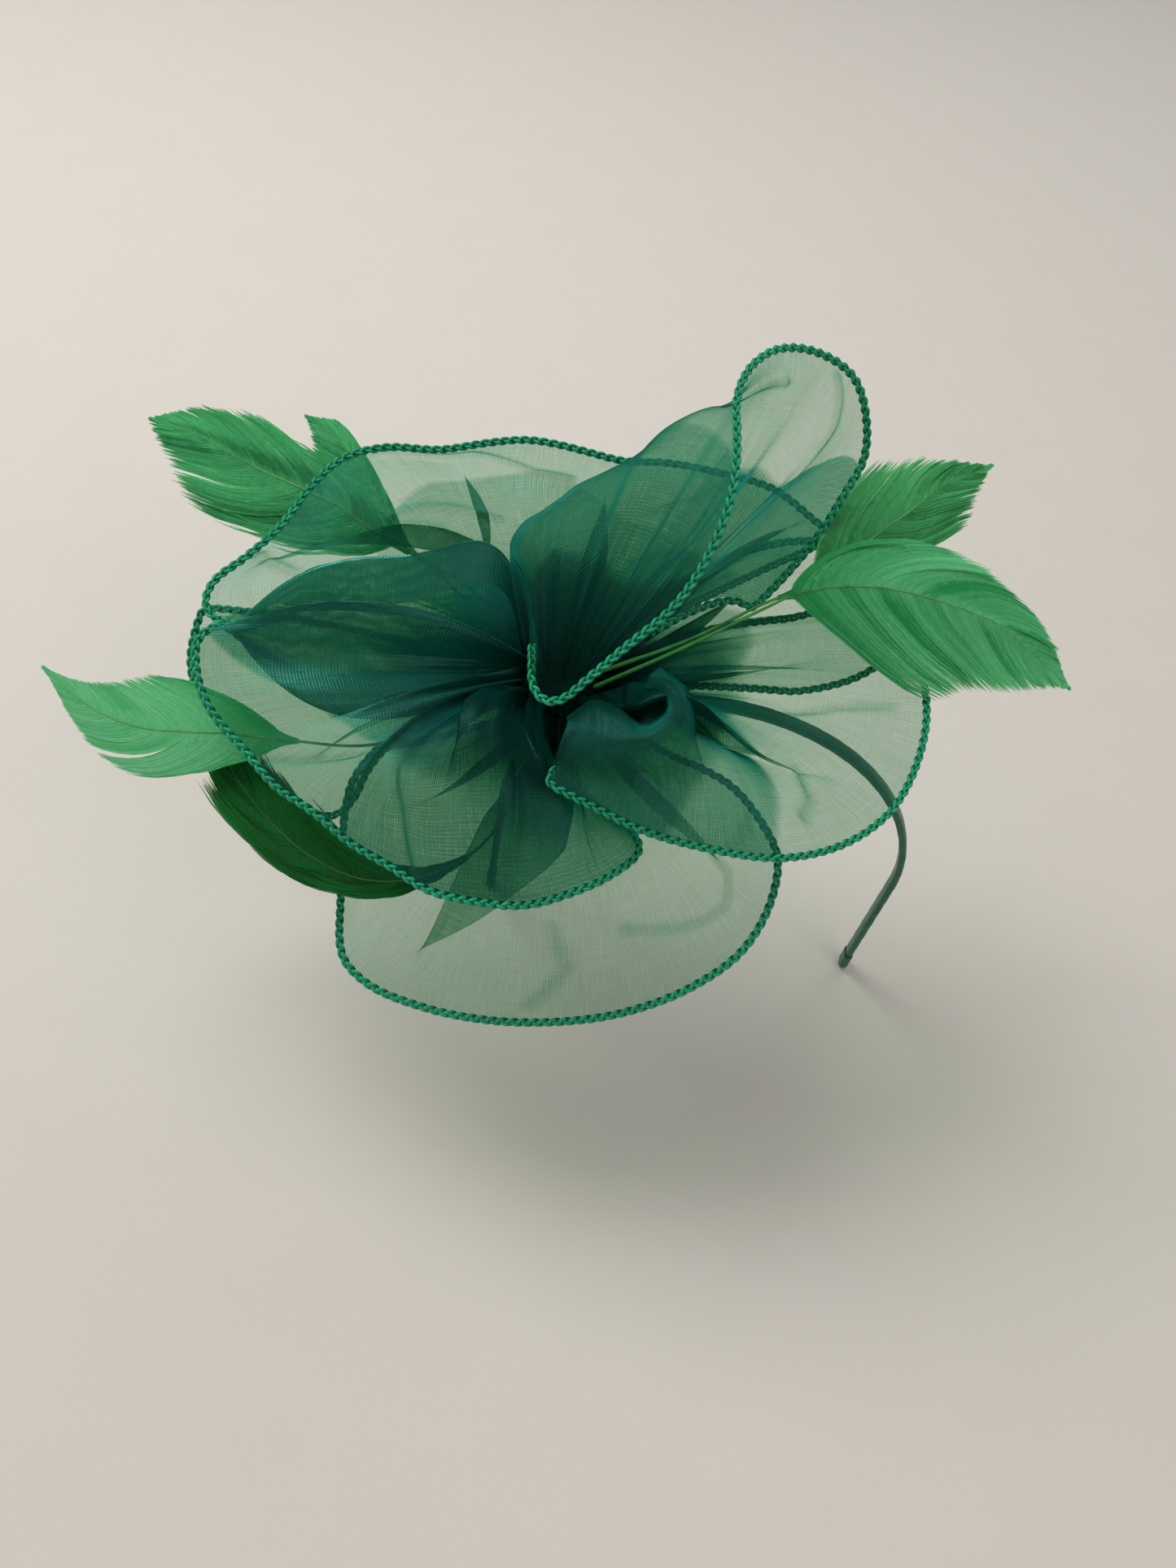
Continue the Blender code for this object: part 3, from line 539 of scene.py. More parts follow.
def piece(name, vertices, faces, surface, uv=None, **values):
    """Make a mesh object from millimetre points; uv and values are given per vertex."""
    mesh = bpy.data.meshes.new(name)
    mesh.from_pydata(((vertices - REST_POINT) * MM).tolist(), [], list(faces))
    mesh.polygons.foreach_set("use_smooth", [True] * len(mesh.polygons))
    if uv is not None:
        corners = np.empty(len(mesh.loops), np.int32)
        mesh.loops.foreach_get("vertex_index", corners)
        layer = mesh.uv_layers.new(name="cloth")
        layer.data.foreach_set("uv", np.asarray(uv, np.float32)[corners].ravel())
    for key, value in values.items():
        store = mesh.attributes.new(key, "FLOAT", "POINT")
        store.data.foreach_set("value", np.asarray(value, np.float32).ravel())
    mesh.materials.append(surface)
    made = bpy.data.objects.new(name, mesh)
    bpy.context.scene.collection.objects.link(made)
    return made


def fit(made, body, slot, *nodes):
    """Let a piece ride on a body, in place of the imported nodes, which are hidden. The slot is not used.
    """
    if body:
        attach(made, body)
    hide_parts(*nodes)


def grid_faces(rows, columns, closed=False, start=0):
    """Quads of a grid of points; closed joins the last column to the first."""
    across = columns if closed else columns - 1
    i, j = np.meshgrid(np.arange(rows - 1), np.arange(across), indexing="ij")
    here = i * columns + j
    right = i * columns + (j + 1) % columns
    quads = np.stack([here, right, right + columns, here + columns], axis=-1)
    return quads.reshape(-1, 4) + start


def sweep(path, sides, ups, x, y):
    """Points and quads of a closed section (x, y per ring and corner) carried along a path."""
    points = path[:, None] + sides[:, None] * x[..., None] + ups[:, None] * y[..., None]
    return points.reshape(-1, 3), grid_faces(len(path), x.shape[1], closed=True)


def round_sweep(path, sides, ups, radii, turn):
    """A sweep with a round section."""
    return sweep(path, sides, ups, radii * np.cos(turn), radii * np.sin(turn))


def gathered(parts):
    """Join (points, faces) pairs into one pair."""
    starts = running([len(points) for points, _ in parts]).astype(int)
    faces = [part_faces + start for (_, part_faces), start in zip(parts, starts)]
    return np.concatenate([points for points, _ in parts]), np.concatenate(faces)


def ringed(r, turn, height):
    """Rings of points round the flower's own axis, in the band's frame."""
    height = np.broadcast_to(height, r.shape)
    return world(np.stack([r * np.cos(turn), r * np.sin(turn), height], axis=-1).reshape(-1, 3))


# ---------------------------------------------------------------- materials

TEAL = (0.2, 1.0, 0.6)
# organza: millimetres between threads, and the share of red, green and blue light one layer passes
THREAD_PITCH = 0.74
LAYER_PASSES = (0.575, 0.72, 0.62)
# light that shines through a feather
FEATHER_GLOW = (0.10, 0.55, 0.15)


class Shader:
    """A material under construction: each call adds one node and returns an output of it."""

    def __init__(self, name):
        self.material = bpy.data.materials.new(name)
        self.material.use_nodes = True
        self.tree = self.material.node_tree
        self.tree.nodes.clear()

    def node(self, kind, inputs=None, **settings):
        made = self.tree.nodes.new("ShaderNode" + kind)
        for key, value in settings.items():
            setattr(made, key, value)
        for key, value in (inputs or {}).items():
            socket = made.inputs[key]
            if isinstance(value, bpy.types.NodeSocket):
                self.tree.links.new(value, socket)
            elif socket.type == "RGBA":
                socket.default_value = (*value, 1.0)
            else:
                socket.default_value = value
        return made.outputs

    def math(self, operation, first, second=0.0, third=0.0, clamp=False):
        inputs = {0: first, 1: second, 2: third}
        return self.node("Math", inputs, operation=operation, use_clamp=clamp)[0]

    def add(self, first, second):
        return self.math("ADD", first, second)

    def times(self, first, second):
        return self.math("MULTIPLY", first, second)

    def remap(self, value, low, high, to_low, to_high):
        return self.node("MapRange", {0: value, 1: low, 2: high, 3: to_low, 4: to_high})[0]

    def mix(self, factor, first, second):
        return self.node("Mix", {0: factor, 6: first, 7: second}, data_type="RGBA")[2]

    def mottle(self, value, low, high, first, second, most=1.0):
        """From the first colour to the second, by at most this much, as the value rises."""
        return self.mix(self.remap(value, low, high, 0.0, most), first, second)

    def noise(self, vector, scale, detail=3.0, roughness=0.55):
        inputs = {"Vector": vector, "Scale": scale, "Detail": detail, "Roughness": roughness}
        return self.node("TexNoise", inputs)[0]

    def streaks(self, across, across_scale, along, along_scale, detail=3.0):
        """Noise drawn out along one thread direction."""
        inputs = {0: self.times(across, across_scale), 1: self.times(along, along_scale)}
        return self.noise(self.node("CombineXYZ", inputs)[0], 1.0, detail)

    def wave(self, value, pitch):
        """0..1 ripple along a running length."""
        turns = self.times(value, FULL_TURN / pitch)
        return self.math("MULTIPLY_ADD", self.math("SINE", turns), 0.5, 0.5)

    def bump(self, height, distance, strength):
        return self.node("Bump", {"Height": height, "Distance": distance, "Strength": strength})[0]

    def place(self):
        """Position on the object, in metres."""
        return self.node("TexCoord")["Object"]

    def value(self, name):
        """A value stored at each vertex of the mesh."""
        return self.node("Attribute", attribute_name=name)["Fac"]

    def threads(self):
        """Thread coordinates in millimetres, as (vector, first, second)."""
        vector = self.node("UVMap", uv_map="cloth")[0]
        split = self.node("SeparateXYZ", {0: vector})
        return vector, split[0], split[1]

    def scaled(self, vector, amount):
        return self.node("VectorMath", {0: vector, "Scale": amount}, operation="SCALE")[0]

    def coat(self, tone, roughness, height, distance, strength, sheen=0.0, tint=TEAL, **more):
        """A solid surface with this tone, roughness, relief and sheen."""
        inputs = {
            "Base Color": tone,
            "Roughness": roughness,
            "Normal": self.bump(height, distance, strength),
        }
        if sheen:
            inputs.update({"Sheen Weight": sheen, "Sheen Tint": tint})
        for key, value in more.items():
            inputs[key.replace("_", " ").title().replace("Ior", "IOR")] = value
        return self.node("BsdfPrincipled", inputs)[0]

    def finish(self, shader):
        self.node("OutputMaterial", {"Surface": shader})
        return self.material


def organza_material():
    """Sheer silk-like cloth: each layer tints what is behind it, and is denser where it is gathered
    or seen edge on; a glossy layer gives a soft teal sheen. The cloth's colour carries painted light
    and shade: a painted sheen, brighter edge on and darker face on, and the per-vertex painted light,
    which paints shade at the heart and in some folds and highlights on others."""
    s = Shader("organza")
    vector, along, out = s.threads()
    facing = s.node("LayerWeight", {"Blend": 0.5})["Facing"]
    towards = s.math("MAXIMUM", s.math("SUBTRACT", 1.0, facing), 0.16)
    # uneven threads: fine streaks in both thread directions and slow cloudy variation
    wander = s.noise(vector, 0.05, 2.0)
    bent = s.math("MULTIPLY_ADD", wander, 5.0, along)
    warp_streak = s.streaks(bent, 2.6, out, 0.07, 2.0)
    weft_streak = s.streaks(along, 0.07, out, 2.6, 2.0)
    warp = s.wave(bent, THREAD_PITCH)
    weft = s.wave(out, THREAD_PITCH)
    woven = s.add(s.times(warp, 0.42), s.times(weft, 0.22))
    warp_uneven = s.remap(warp_streak, 0.3, 0.7, -0.22, 0.22)
    weft_uneven = s.remap(weft_streak, 0.3, 0.7, -0.16, 0.16)
    density = s.add(s.add(woven, s.add(warp_uneven, weft_uneven)), 0.68)
    depth = s.math("DIVIDE", s.times(density, s.value("gather")), towards)
    passed = {i: s.math("POWER", part, depth) for i, part in enumerate(LAYER_PASSES)}
    cover = s.math("SUBTRACT", 1.0, passed[1])
    # the cloth's own dark teal, varying at random; its blue is raised a little as a painted sheen
    tone = s.mottle(wander, 0.35, 0.65, (0.003, 0.050, 0.042), (0.004, 0.070, 0.060))
    # painted light and shade stored per vertex, faded towards the silhouette so that no painted edge
    # highlight shows
    lustre = s.times(s.value("lustre"), s.remap(facing, 0.72, 0.97, 1.0, 0.25))
    # painted sheen: the colour is made brighter edge on and darker face on, times the painted light
    painted_sheen = s.times(s.remap(facing, 0.0, 0.8, 0.5, 1.5), lustre)
    body = s.scaled(tone, s.times(cover, painted_sheen))
    # the glossy layer's colour is scaled by the painted light as well
    shine = s.scaled((0.10, 0.42, 0.34), s.times(s.times(cover, 0.15), lustre))
    height = s.add(s.add(warp, weft), s.times(s.add(warp_streak, weft_streak), 2.0))
    normal = s.bump(height, 0.00006, 0.6)
    total = s.node("BsdfTransparent", {"Color": s.node("CombineColor", passed)[0]})[0]
    for kind, inputs in (
        ("BsdfDiffuse", {"Color": body, "Roughness": 0.5, "Normal": normal}),
        ("BsdfTranslucent", {"Color": body}),
        ("BsdfAnisotropic", {"Color": shine, "Roughness": 0.36, "Normal": normal}),
    ):
        total = s.node("AddShader", {0: total, 1: s.node(kind, inputs)[0]})[0]
    return s.finish(total)


def cord_material():
    """Twisted rayon cord: fine filaments along each strand; its colour carries painted shade in the gaps
    between strands and on their undersides, and painted highlights on their crests.
    """
    s = Shader("edge_cord")
    _, round_it, along = s.threads()
    filament = s.wave(s.math("MULTIPLY_ADD", along, 0.9, round_it), 0.55)
    fuzz = s.noise(s.place(), 2600.0, 2.0)
    slow = s.noise(s.place(), 60.0, 1.0)
    tone = s.mottle(fuzz, 0.3, 0.7, (0.006, 0.240, 0.110), (0.035, 0.720, 0.370))
    tone = s.mottle(slow, 0.35, 0.7, tone, (0.006, 0.170, 0.085), 0.35)
    # painted shade: near black in the gaps between strands and under them, the full green on their crests
    # as a painted highlight
    tone = s.mottle(s.value("crest"), 0.15, 0.95, (0.0004, 0.022, 0.010), tone)
    height = s.math("MULTIPLY_ADD", fuzz, 0.6, filament)
    shine = {"specular_ior_level": 0.7, "specular_tint": (0.35, 1.0, 0.65)}
    return s.finish(s.coat(tone, 0.28, height, 0.00012, 0.8, 0.15, **shine))


def feather_material(name, dark, light):
    """Barbs: streaks along each barb, paler towards the free edge, letting light through."""
    s = Shader(name)
    _, across, along = s.threads()
    streak = s.streaks(across, 3.0, along, 0.5)
    amount = s.math("ADD", s.times(streak, 0.7), s.times(s.value("tint"), 0.6), clamp=True)
    tone = s.mix(amount, dark, light)
    height = s.add(s.wave(across, 0.5), streak)
    shine = {"tint": (0.6, 1.0, 0.7), "specular_ior_level": 0.25}
    lit = s.coat(tone, 0.55, height, 0.0001, 0.5, 0.25, **shine)
    back = s.node("BsdfTranslucent", {"Color": s.mix(0.5, tone, FEATHER_GLOW)})[0]
    mixed = s.node("MixShader", {0: 0.35, 1: lit, 2: back})[0]
    clear = s.node("BsdfTransparent")[0]
    return s.finish(s.node("MixShader", {0: 0.10, 1: mixed, 2: clear})[0])


def quill_material(name, dark, light):
    """Polished shaft, mottled between two greens."""
    s = Shader(name)
    place = s.place()
    tone = s.mottle(s.noise(place, 220.0), 0.3, 0.7, dark, light)
    grain = s.noise(place, 1800.0, 2.0)
    return s.finish(s.coat(tone, 0.32, grain, 0.00008, 0.5, subsurface_weight=0.1))


def satin_material():
    """Ribbon satin: fine lengthwise floats, a soft long highlight, scuffed a little at the folds."""
    s = Shader("satin")
    _, across, along = s.threads()
    slub = s.streaks(across, 3.0, along, 0.15)
    wear = s.noise(s.place(), 130.0, 4.0)
    tone = s.mottle(slub, 0.3, 0.7, (0.003, 0.070, 0.034), (0.010, 0.150, 0.076))
    tone = s.mottle(wear, 0.55, 0.8, tone, (0.030, 0.200, 0.110), 0.25)
    height = s.add(s.wave(across, 0.22), s.times(slub, 2.0))
    shine = {"tint": (0.4, 1.0, 0.7), "anisotropic": 0.6}
    rough = s.remap(wear, 0.3, 0.8, 0.26, 0.48)
    return s.finish(s.coat(tone, rough, height, 0.00006, 0.5, 0.2, **shine))


def felt_material():
    """Pressed wool felt: tangled fibres and pilled patches."""
    s = Shader("felt")
    place = s.place()
    tangle = s.noise(place, 1500.0, 6.0, 0.7)
    blotch = s.noise(place, 180.0)
    tone = s.mottle(tangle, 0.3, 0.7, (0.003, 0.030, 0.018), (0.012, 0.085, 0.050))
    tone = s.mottle(blotch, 0.45, 0.75, tone, (0.020, 0.110, 0.070), 0.4)
    height = s.math("MULTIPLY_ADD", blotch, 0.6, tangle)
    dull = {"sheen_roughness": 0.5, "specular_ior_level": 0.2}
    return s.finish(s.coat(tone, 0.95, height, 0.0005, 0.9, 0.25, **dull))


def thread_material():
    """Spun polyester thread: two plies and stray fibres."""
    s = Shader("thread")
    place = s.place()
    twist = {"Vector": place, "Scale": 520.0, "Distortion": 1.5, "Detail": 1.0}
    ply = s.node("TexWave", twist)["Fac"]
    tone = s.mix(ply, (0.003, 0.060, 0.030), (0.012, 0.150, 0.080))
    height = s.math("MULTIPLY_ADD", s.noise(place, 2400.0), 0.5, ply)
    return s.finish(s.coat(tone, 0.5, height, 0.00015, 0.8, 0.2))


def steel_material():
    """Tempered spring strip: faint lengthwise polish and blue-grey oxide."""
    s = Shader("spring_core")
    place = s.place()
    drawn = s.node("Mapping", {"Vector": place, "Scale": (40.0, 4000.0, 40.0)})[0]
    brushed = s.noise(drawn, 1.0)
    oxide = s.noise(place, 160.0)
    tone = s.mottle(oxide, 0.35, 0.7, (0.300, 0.310, 0.330), (0.180, 0.200, 0.240))
    rough = s.remap(brushed, 0.3, 0.7, 0.25, 0.45)
    return s.finish(s.coat(tone, rough, brushed, 0.00005, 0.4, metallic=1.0))


def floor_material():
    """Plain pale matt floor."""
    s = Shader("floor")
    place = s.place()
    tone = s.mix(s.noise(place, 30.0, 5.0), (0.775, 0.735, 0.675), (0.805, 0.765, 0.705))
    grain = s.noise(place, 260.0, 4.0)
    return s.finish(s.coat(tone, 0.85, grain, 0.0004, 0.15, specular_ior_level=0.2))


ORGANZA = organza_material()
CORD = cord_material()
SATIN = satin_material()
FELT = felt_material()
THREAD = thread_material()
STEEL = steel_material()
QUILL = quill_material("quill", (0.02, 0.22, 0.04), (0.08, 0.42, 0.09))
DARK_QUILL = quill_material("dark_quill", (0.001, 0.06, 0.006), (0.004, 0.11, 0.014))


# ---------------------------------------------------------------- organza loops


def loft(name, u, v):
    """The smooth cloth of one loop, before pleats: root to middle to rim, in the flower's frame."""
    edge, middle = np.hsplit(np.array(LOOPS[name]["edge"], float), 2)
    root = np.array(LOOPS[name]["root"], float)
    spans = spacing(edge)
    root_spans = spacing(root)
    outer = smooth(edge, spans, u * spans[-1])
    belly = smooth(middle, spans, u * spans[-1])
    inner = smooth(root, root_spans, u * root_spans[-1])
    v = v[..., None]
    lift = 2 * belly - (inner + outer) / 2
    points = inner * (1 - v) ** 2 + lift * (2 * v * (1 - v)) + outer * v**2
    for at_u, at_v, wide, long, push in SWELLS.get(name, []):
        amount = np.exp(-(((u - at_u) / wide) ** 2)[..., None] - ((v - at_v) / long) ** 2)
        points = points + amount * (1.0 - np.exp(-((v / SWELL_ROOT) ** 2))) * np.array(push)
    return points


def columns(name, count):
    """Places across a loop, closer together where its middle line or rim turns sharply."""
    u = np.linspace(0.0, 1.0, 2000)
    run = running(sum(steps(loft(name, u, np.full(2000, v))) for v in (0.5, 1.0)))
    return np.interp(np.linspace(0.0, run[-1], count), run, u)


def pleat_shift(pleat, u, v):
    """How far one pleat drags the cloth along u, and how high it stands, at (u, v)."""
    tip_u, drift, width, tip, growth, height = pleat
    inside = np.clip(1.0 + growth * (tip - v), 0.0, 3.2)
    fading = clamp((1.0 - v) / (1.0 - tip)) ** 1.5
    strength = np.where(v < tip, inside, fading)
    s = (u - (tip_u + drift * (tip - v))) / width
    shift = -width * strength * s * np.exp(-s * s / 2)
    stand = np.tanh(1.6 * s) * np.exp(-s * s / 3) * (strength > 0.4)
    return shift, -height * (strength - 0.4) * stand


def crease(name, u, v):
    """0..1, how close each place lies to one of the loop's creases."""
    nearest = np.full(u.shape, 1e9)
    for line in CREASES.get(name, []):
        for (u0, v0), (u1, v1) in zip(line[:-1], line[1:]):
            run_u = (u1 - u0) * CREASE_STRETCH
            run_v = v1 - v0
            off_u = (u - u0) * CREASE_STRETCH
            off_v = v - v0
            share = clamp((off_u * run_u + off_v * run_v) / (run_u**2 + run_v**2))
            away = np.hypot(off_u - share * run_u, off_v - share * run_v)
            nearest = np.minimum(nearest, away)
    return np.exp(-((nearest / CREASE_WIDTH) ** 2))


def ripple(turns, phase=0.0):
    """A sine wave counted in full turns."""
    return np.sin(FULL_TURN * turns + phase)


def cloth(name, across, along):
    """Grid of points of one loop, with its pleats, gathers, creases and soft waves."""
    u, v = np.meshgrid(columns(name, across), np.linspace(0.0, 1.0, along), indexing="ij")
    moved = u.copy()
    stand = np.zeros_like(u)
    for pleat in PLEATS[name]:
        shift, height = pleat_shift(pleat, u, v)
        moved += shift
        stand += height * np.sin(math.pi * v) ** 0.5
    moved = clamp(moved)
    run_u = loft(name, clamp(moved + NUDGE), v) - loft(name, clamp(moved - NUDGE), v)
    run_v = loft(name, moved, clamp(v + NUDGE)) - loft(name, moved, clamp(v - NUDGE))
    normal = unit(np.cross(run_u, run_v))
    # each loop's folds differ: their number and place follow from its name
    seed = sum(ord(letter) for letter in name)
    phase = seed % 7
    # tight gathers at the heart that open and die away towards the rim
    count = 15 + seed % 5
    gathers = np.sin(FULL_TURN * count * u + phase + 1.3 * ripple(3 * u))
    gathers += 0.6 * ripple(count * 1.7 * u, 2 * phase)
    stand += gathers * 1.3 * np.exp(-((v / 0.30) ** 1.5)) * clamp(v / 0.05)
    stand += CREASE_HEIGHT * crease(name, moved, v)
    # long soft waves
    waves = ripple(4.3 * u + 0.3 * v, phase) + 0.6 * ripple(7.9 * u - 0.5 * v, 2.1 * phase)
    stand += waves * 1.1 * np.sin(math.pi * v) ** 1.3
    return loft(name, moved, v) + normal * stand[..., None], moved, v


def folding(name, points, u, v):
    """How many layers' worth of cloth lies over each place, and the painted light and shade on it."""
    from_heart = np.linalg.norm(points[..., :2], axis=-1) / HEART_REACH
    drawn_in = clamp(1.0 - from_heart) * clamp((0.85 - v) / 0.3)
    density = 1.0 + 2.2 * clamp(1.0 - v / 0.55) ** 1.5
    density = density + HEART_LAYERS * drawn_in + CREASE_LAYERS * crease(name, u, v)
    # painted shade, deepening towards the heart
    lustre = clamp(0.35 + from_heart * 0.65)
    # each folded zone adds layers and scales the painted light: above 1 a painted highlight, below 1 a
    # painted shade
    for extra, shine, softness, line in FOLDED[name]:
        edge = np.interp(u, *zip(*line))
        amount = clamp((edge - v) / softness + 0.5)
        amount = amount * amount * (3.0 - 2.0 * amount)
        density = density + extra * amount
        lustre = lustre * shine**amount
    return density, lustre


def rolled_lip(across, along):
    """The horn at the start of the right loop: points, thread coordinates, layers and painted light and
    shade.
    """
    rows = np.array(ROLL, float)
    spans = spacing(rows[ROLL_LIP])
    even = np.linspace(0.0, spans[-1], across)
    rings = [smooth(row, spans, even) for row in rows]
    stages = np.arange(len(rows), dtype=float)
    at = np.linspace(0.0, stages[-1], along)
    points = np.stack([smooth(np.array(stack), stages, at) for stack in zip(*rings)])
    layers = np.tile(np.interp(at, stages, ROLL_LAYERS), across)
    lustre = np.tile(np.interp(at, stages, ROLL_PAINTED_LIGHT), across)
    out = running(np.linalg.norm(np.diff(points, axis=1), axis=2).mean(axis=0))
    uv = paired(ROLL_THREADS * even[:, None], out)
    return points.reshape(-1, 3), uv, layers, lustre


for name in LOOPS:
    across, along = SMALL_GRIDS.get(name, LOOP_GRID)
    points, moved, v = cloth(name, across, along)
    edge_length = steps(points[:, -1]).sum()
    middle = points[across // 2]
    uv = paired(moved * edge_length, v * np.linalg.norm(middle[-1] - middle[0]))
    density, lustre = folding(name, points, moved, v)
    points = points.reshape(-1, 3)
    faces = grid_faces(across, along)
    if name == "right_loop":
        # sheen here is the horn's painted light and shade: painted shade in its throat, a painted
        # highlight over its lip
        horn, horn_uv, layers, sheen = rolled_lip(*ROLL_GRID)
        points, faces = gathered([(points, faces), (horn, grid_faces(*ROLL_GRID))])
        uv = np.concatenate([uv, horn_uv])
        density = np.concatenate([density.ravel(), layers])
        lustre = np.concatenate([lustre.ravel(), sheen])
    made = piece(name + "_cloth", world(points), faces, ORGANZA, uv, gather=density, lustre=lustre)
    fit(made, "crown", "organza", name)


# ---------------------------------------------------------------- corded edges


def cord_path(name):
    """Centre line of a loop's cord: the rim, carried on under the cloth along both sides."""
    start, end = CORD_TAILS[name]
    rim = loft(name, np.linspace(0, 1, 260), np.ones(260))
    inward = loft(name, np.zeros(40), np.linspace(1.0 - start, 1.0, 40, endpoint=False))
    outward = loft(name, np.ones(40), np.linspace(1.0, 1.0 - end, 41)[1:])
    inward[:, 2] -= TAIL_DROP * np.linspace(1.0, 0.0, 40)
    outward[:, 2] -= TAIL_DROP * np.linspace(0.0, 1.0, 40)
    path, _ = resample(np.concatenate([inward, rim, outward]), 1.0)
    return relax(path, 6)


def plait(path):
    """Three strands plaited round a path, flat side to the front of the flower."""
    path, run = resample(path, STRAND_RING)
    tangents = unit(np.gradient(path, axis=0))
    ups = unit(LIFT - tangents * (tangents @ LIFT)[:, None])
    sides = np.cross(tangents, ups)
    turn = around(7)
    thick = np.full((len(path), 1), STRAND_RADIUS)
    thick[:2, 0] = STRAND_END
    thick[-2:, 0] = STRAND_END[::-1]
    parts = []
    crests = []
    for strand in range(3):
        phase = FULL_TURN * (run / CORD_LINK + strand / 3)
        rise = np.sin(2 * phase)[:, None]
        centre = path + sides * (STRAND_SWAY * np.sin(phase))[:, None] + ups * (STRAND_RISE * rise)
        parts.append(round_sweep(centre, sides, ups, thick, turn))
        # painted light and shade for the cord: high where a strand rides over the others and on its upper
        # side, low in the gaps and underneath
        crests.append(clamp(0.5 + 0.45 * rise + 0.35 * np.sin(turn)).ravel())
    uv = np.tile(paired(turn * 0.56, run[:, None]), (3, 1))
    return *gathered(parts), uv, np.concatenate(crests)


for name in LOOPS:
    points, faces, uv, crest = plait(cord_path(name))
    made = piece(name + "_braid", world(points), faces, CORD, uv, crest=crest)
    fit(made, "crown", "edge_cord", name + "_cord")


# ---------------------------------------------------------------- feathers


def feather_line(stations):
    """Quill points, the vane's widths and the running length along them, and where the vane starts."""
    stations = np.array(stations, float)
    spans = spacing(stations[:, :3])
    at = np.linspace(0.0, spans[-1], 240)
    line = smooth(stations[:, :3], spans, at)
    widths = np.maximum(smooth(stations[:, 3:], spans, at), 0.0)
    run = running(steps(line))
    first = run[np.argmax(widths.max(axis=1) > 0.3)]
    rounding = clamp((run / run[-1] - 0.80) / 0.20)
    return line, widths * np.sqrt(1.0 - rounding[:, None] ** 2) * 1.08, run, first


def new_lock(loose):
    """Barbs in a lock and how the lock reaches, sags, is tinted and slopes."""
    size = int(random.integers(7, 18))
    reach = 1.0 + random.normal() * 0.05 * loose
    sag = random.normal() * 0.6 * loose
    tint = random.normal() * 0.15
    slope = 1.0 + random.normal() * 0.06 * loose
    if random.random() < 0.12 * loose:
        # a lock that has come away from the vane
        slope *= 1.15
        sag += 1.2
    return size, reach, sag, tint, slope


def banded(shade, q, share, side, bands):
    """The shade along a barb, darkened where a band crosses it."""
    for band_side, centre, spread, low, high, darker in bands:
        if band_side == side:
            inside = clamp((q - low) / 0.08) * clamp((high - q) / 0.08)
            shade = shade - darker * inside * math.exp(-(((share - centre) / spread) ** 4))
    return shade


def feather_barbs(line, widths, run, first, side, shag, sweep_back, bands):
    """Free barbs down one side of the quill, as narrow strips that cling together in locks."""
    frames = carried(line, LIFT)
    sign = 1.0 if side else -1.0
    length = run[-1]
    count = int((length - first) / BARB_SPACING)
    q = np.linspace(0.0, 1.0, BARB_SEGMENTS)
    half = BARB_HALF_WIDTH * (1.0 - 0.93 * q[:, None] ** 3)
    strips = []
    uvs = []
    tints = []
    left_in_lock = 0
    for number in range(count):
        share = number / (count - 1)
        if left_in_lock <= 0:
            size, lock_reach, lock_sag, lock_tint, lock_slope = new_lock(shag * (0.25 + share))
            left_in_lock = size
        inner = (left_in_lock - size / 2) / size
        left_in_lock -= 1
        root = first + (length - first) * share**0.92
        # the barb ends where its slope meets the edge of the vane
        slope = (1.5 + 1.4 * share) * lock_slope * sweep_back
        beyond = run >= root
        over = run[beyond] - root - slope * widths[beyond, side]
        end = run[beyond][np.argmax(over >= 0.0)] if over.max() >= 0.0 else length
        reach = np.interp(end, run, widths[:, side]) * lock_reach
        reach = reach * (1.0 + random.normal() * 0.06 * shag)
        near_tip = min(1.0, (length - root) / 15.0)
        ahead = max(end - root, 1.0) * (1.0 + random.normal() * 0.02)
        along = root + (ahead + inner * 1.8 * shag * near_tip) * q**1.25
        away = reach * (1.0 - (1.0 - q) ** 1.7)
        inside = np.minimum(along, length)
        centre = read_along(inside, run, line)
        tangent, across, up = (read_along(inside, run, rows) for rows in frames)
        centre = centre + tangent * (along - inside)[:, None] + across * (sign * away)[:, None]
        sag = 0.10 * away + 0.004 * away**2 - lock_sag * q**1.5 + random.normal() * 0.12 * q
        centre = centre - up * sag[:, None]
        flank = unit(np.cross(unit(np.gradient(centre, axis=0)), up))
        strip = (centre - flank * half, centre + flank * half + up * 0.12)
        strips.append(np.stack(strip, axis=1).reshape(-1, 3))
        place = np.stack([np.full(BARB_SEGMENTS, number * BARB_THREADS), along], axis=-1)
        uvs.append(np.stack([place, place + (BARB_THREADS, 0.0)], axis=1).reshape(-1, 2))
        shade = 0.12 + lock_tint + 0.35 * q + random.normal() * 0.12
        shade = shade - 0.6 * math.exp(-share / 0.12)
        tints.append(np.repeat(banded(shade, q, share, side, bands), 2))
    strip_points = 2 * BARB_SEGMENTS
    faces = [grid_faces(BARB_SEGMENTS, 2, start=strip_points * k) for k in range(count)]
    return [np.concatenate(rows) for rows in (strips, faces, uvs, tints)]


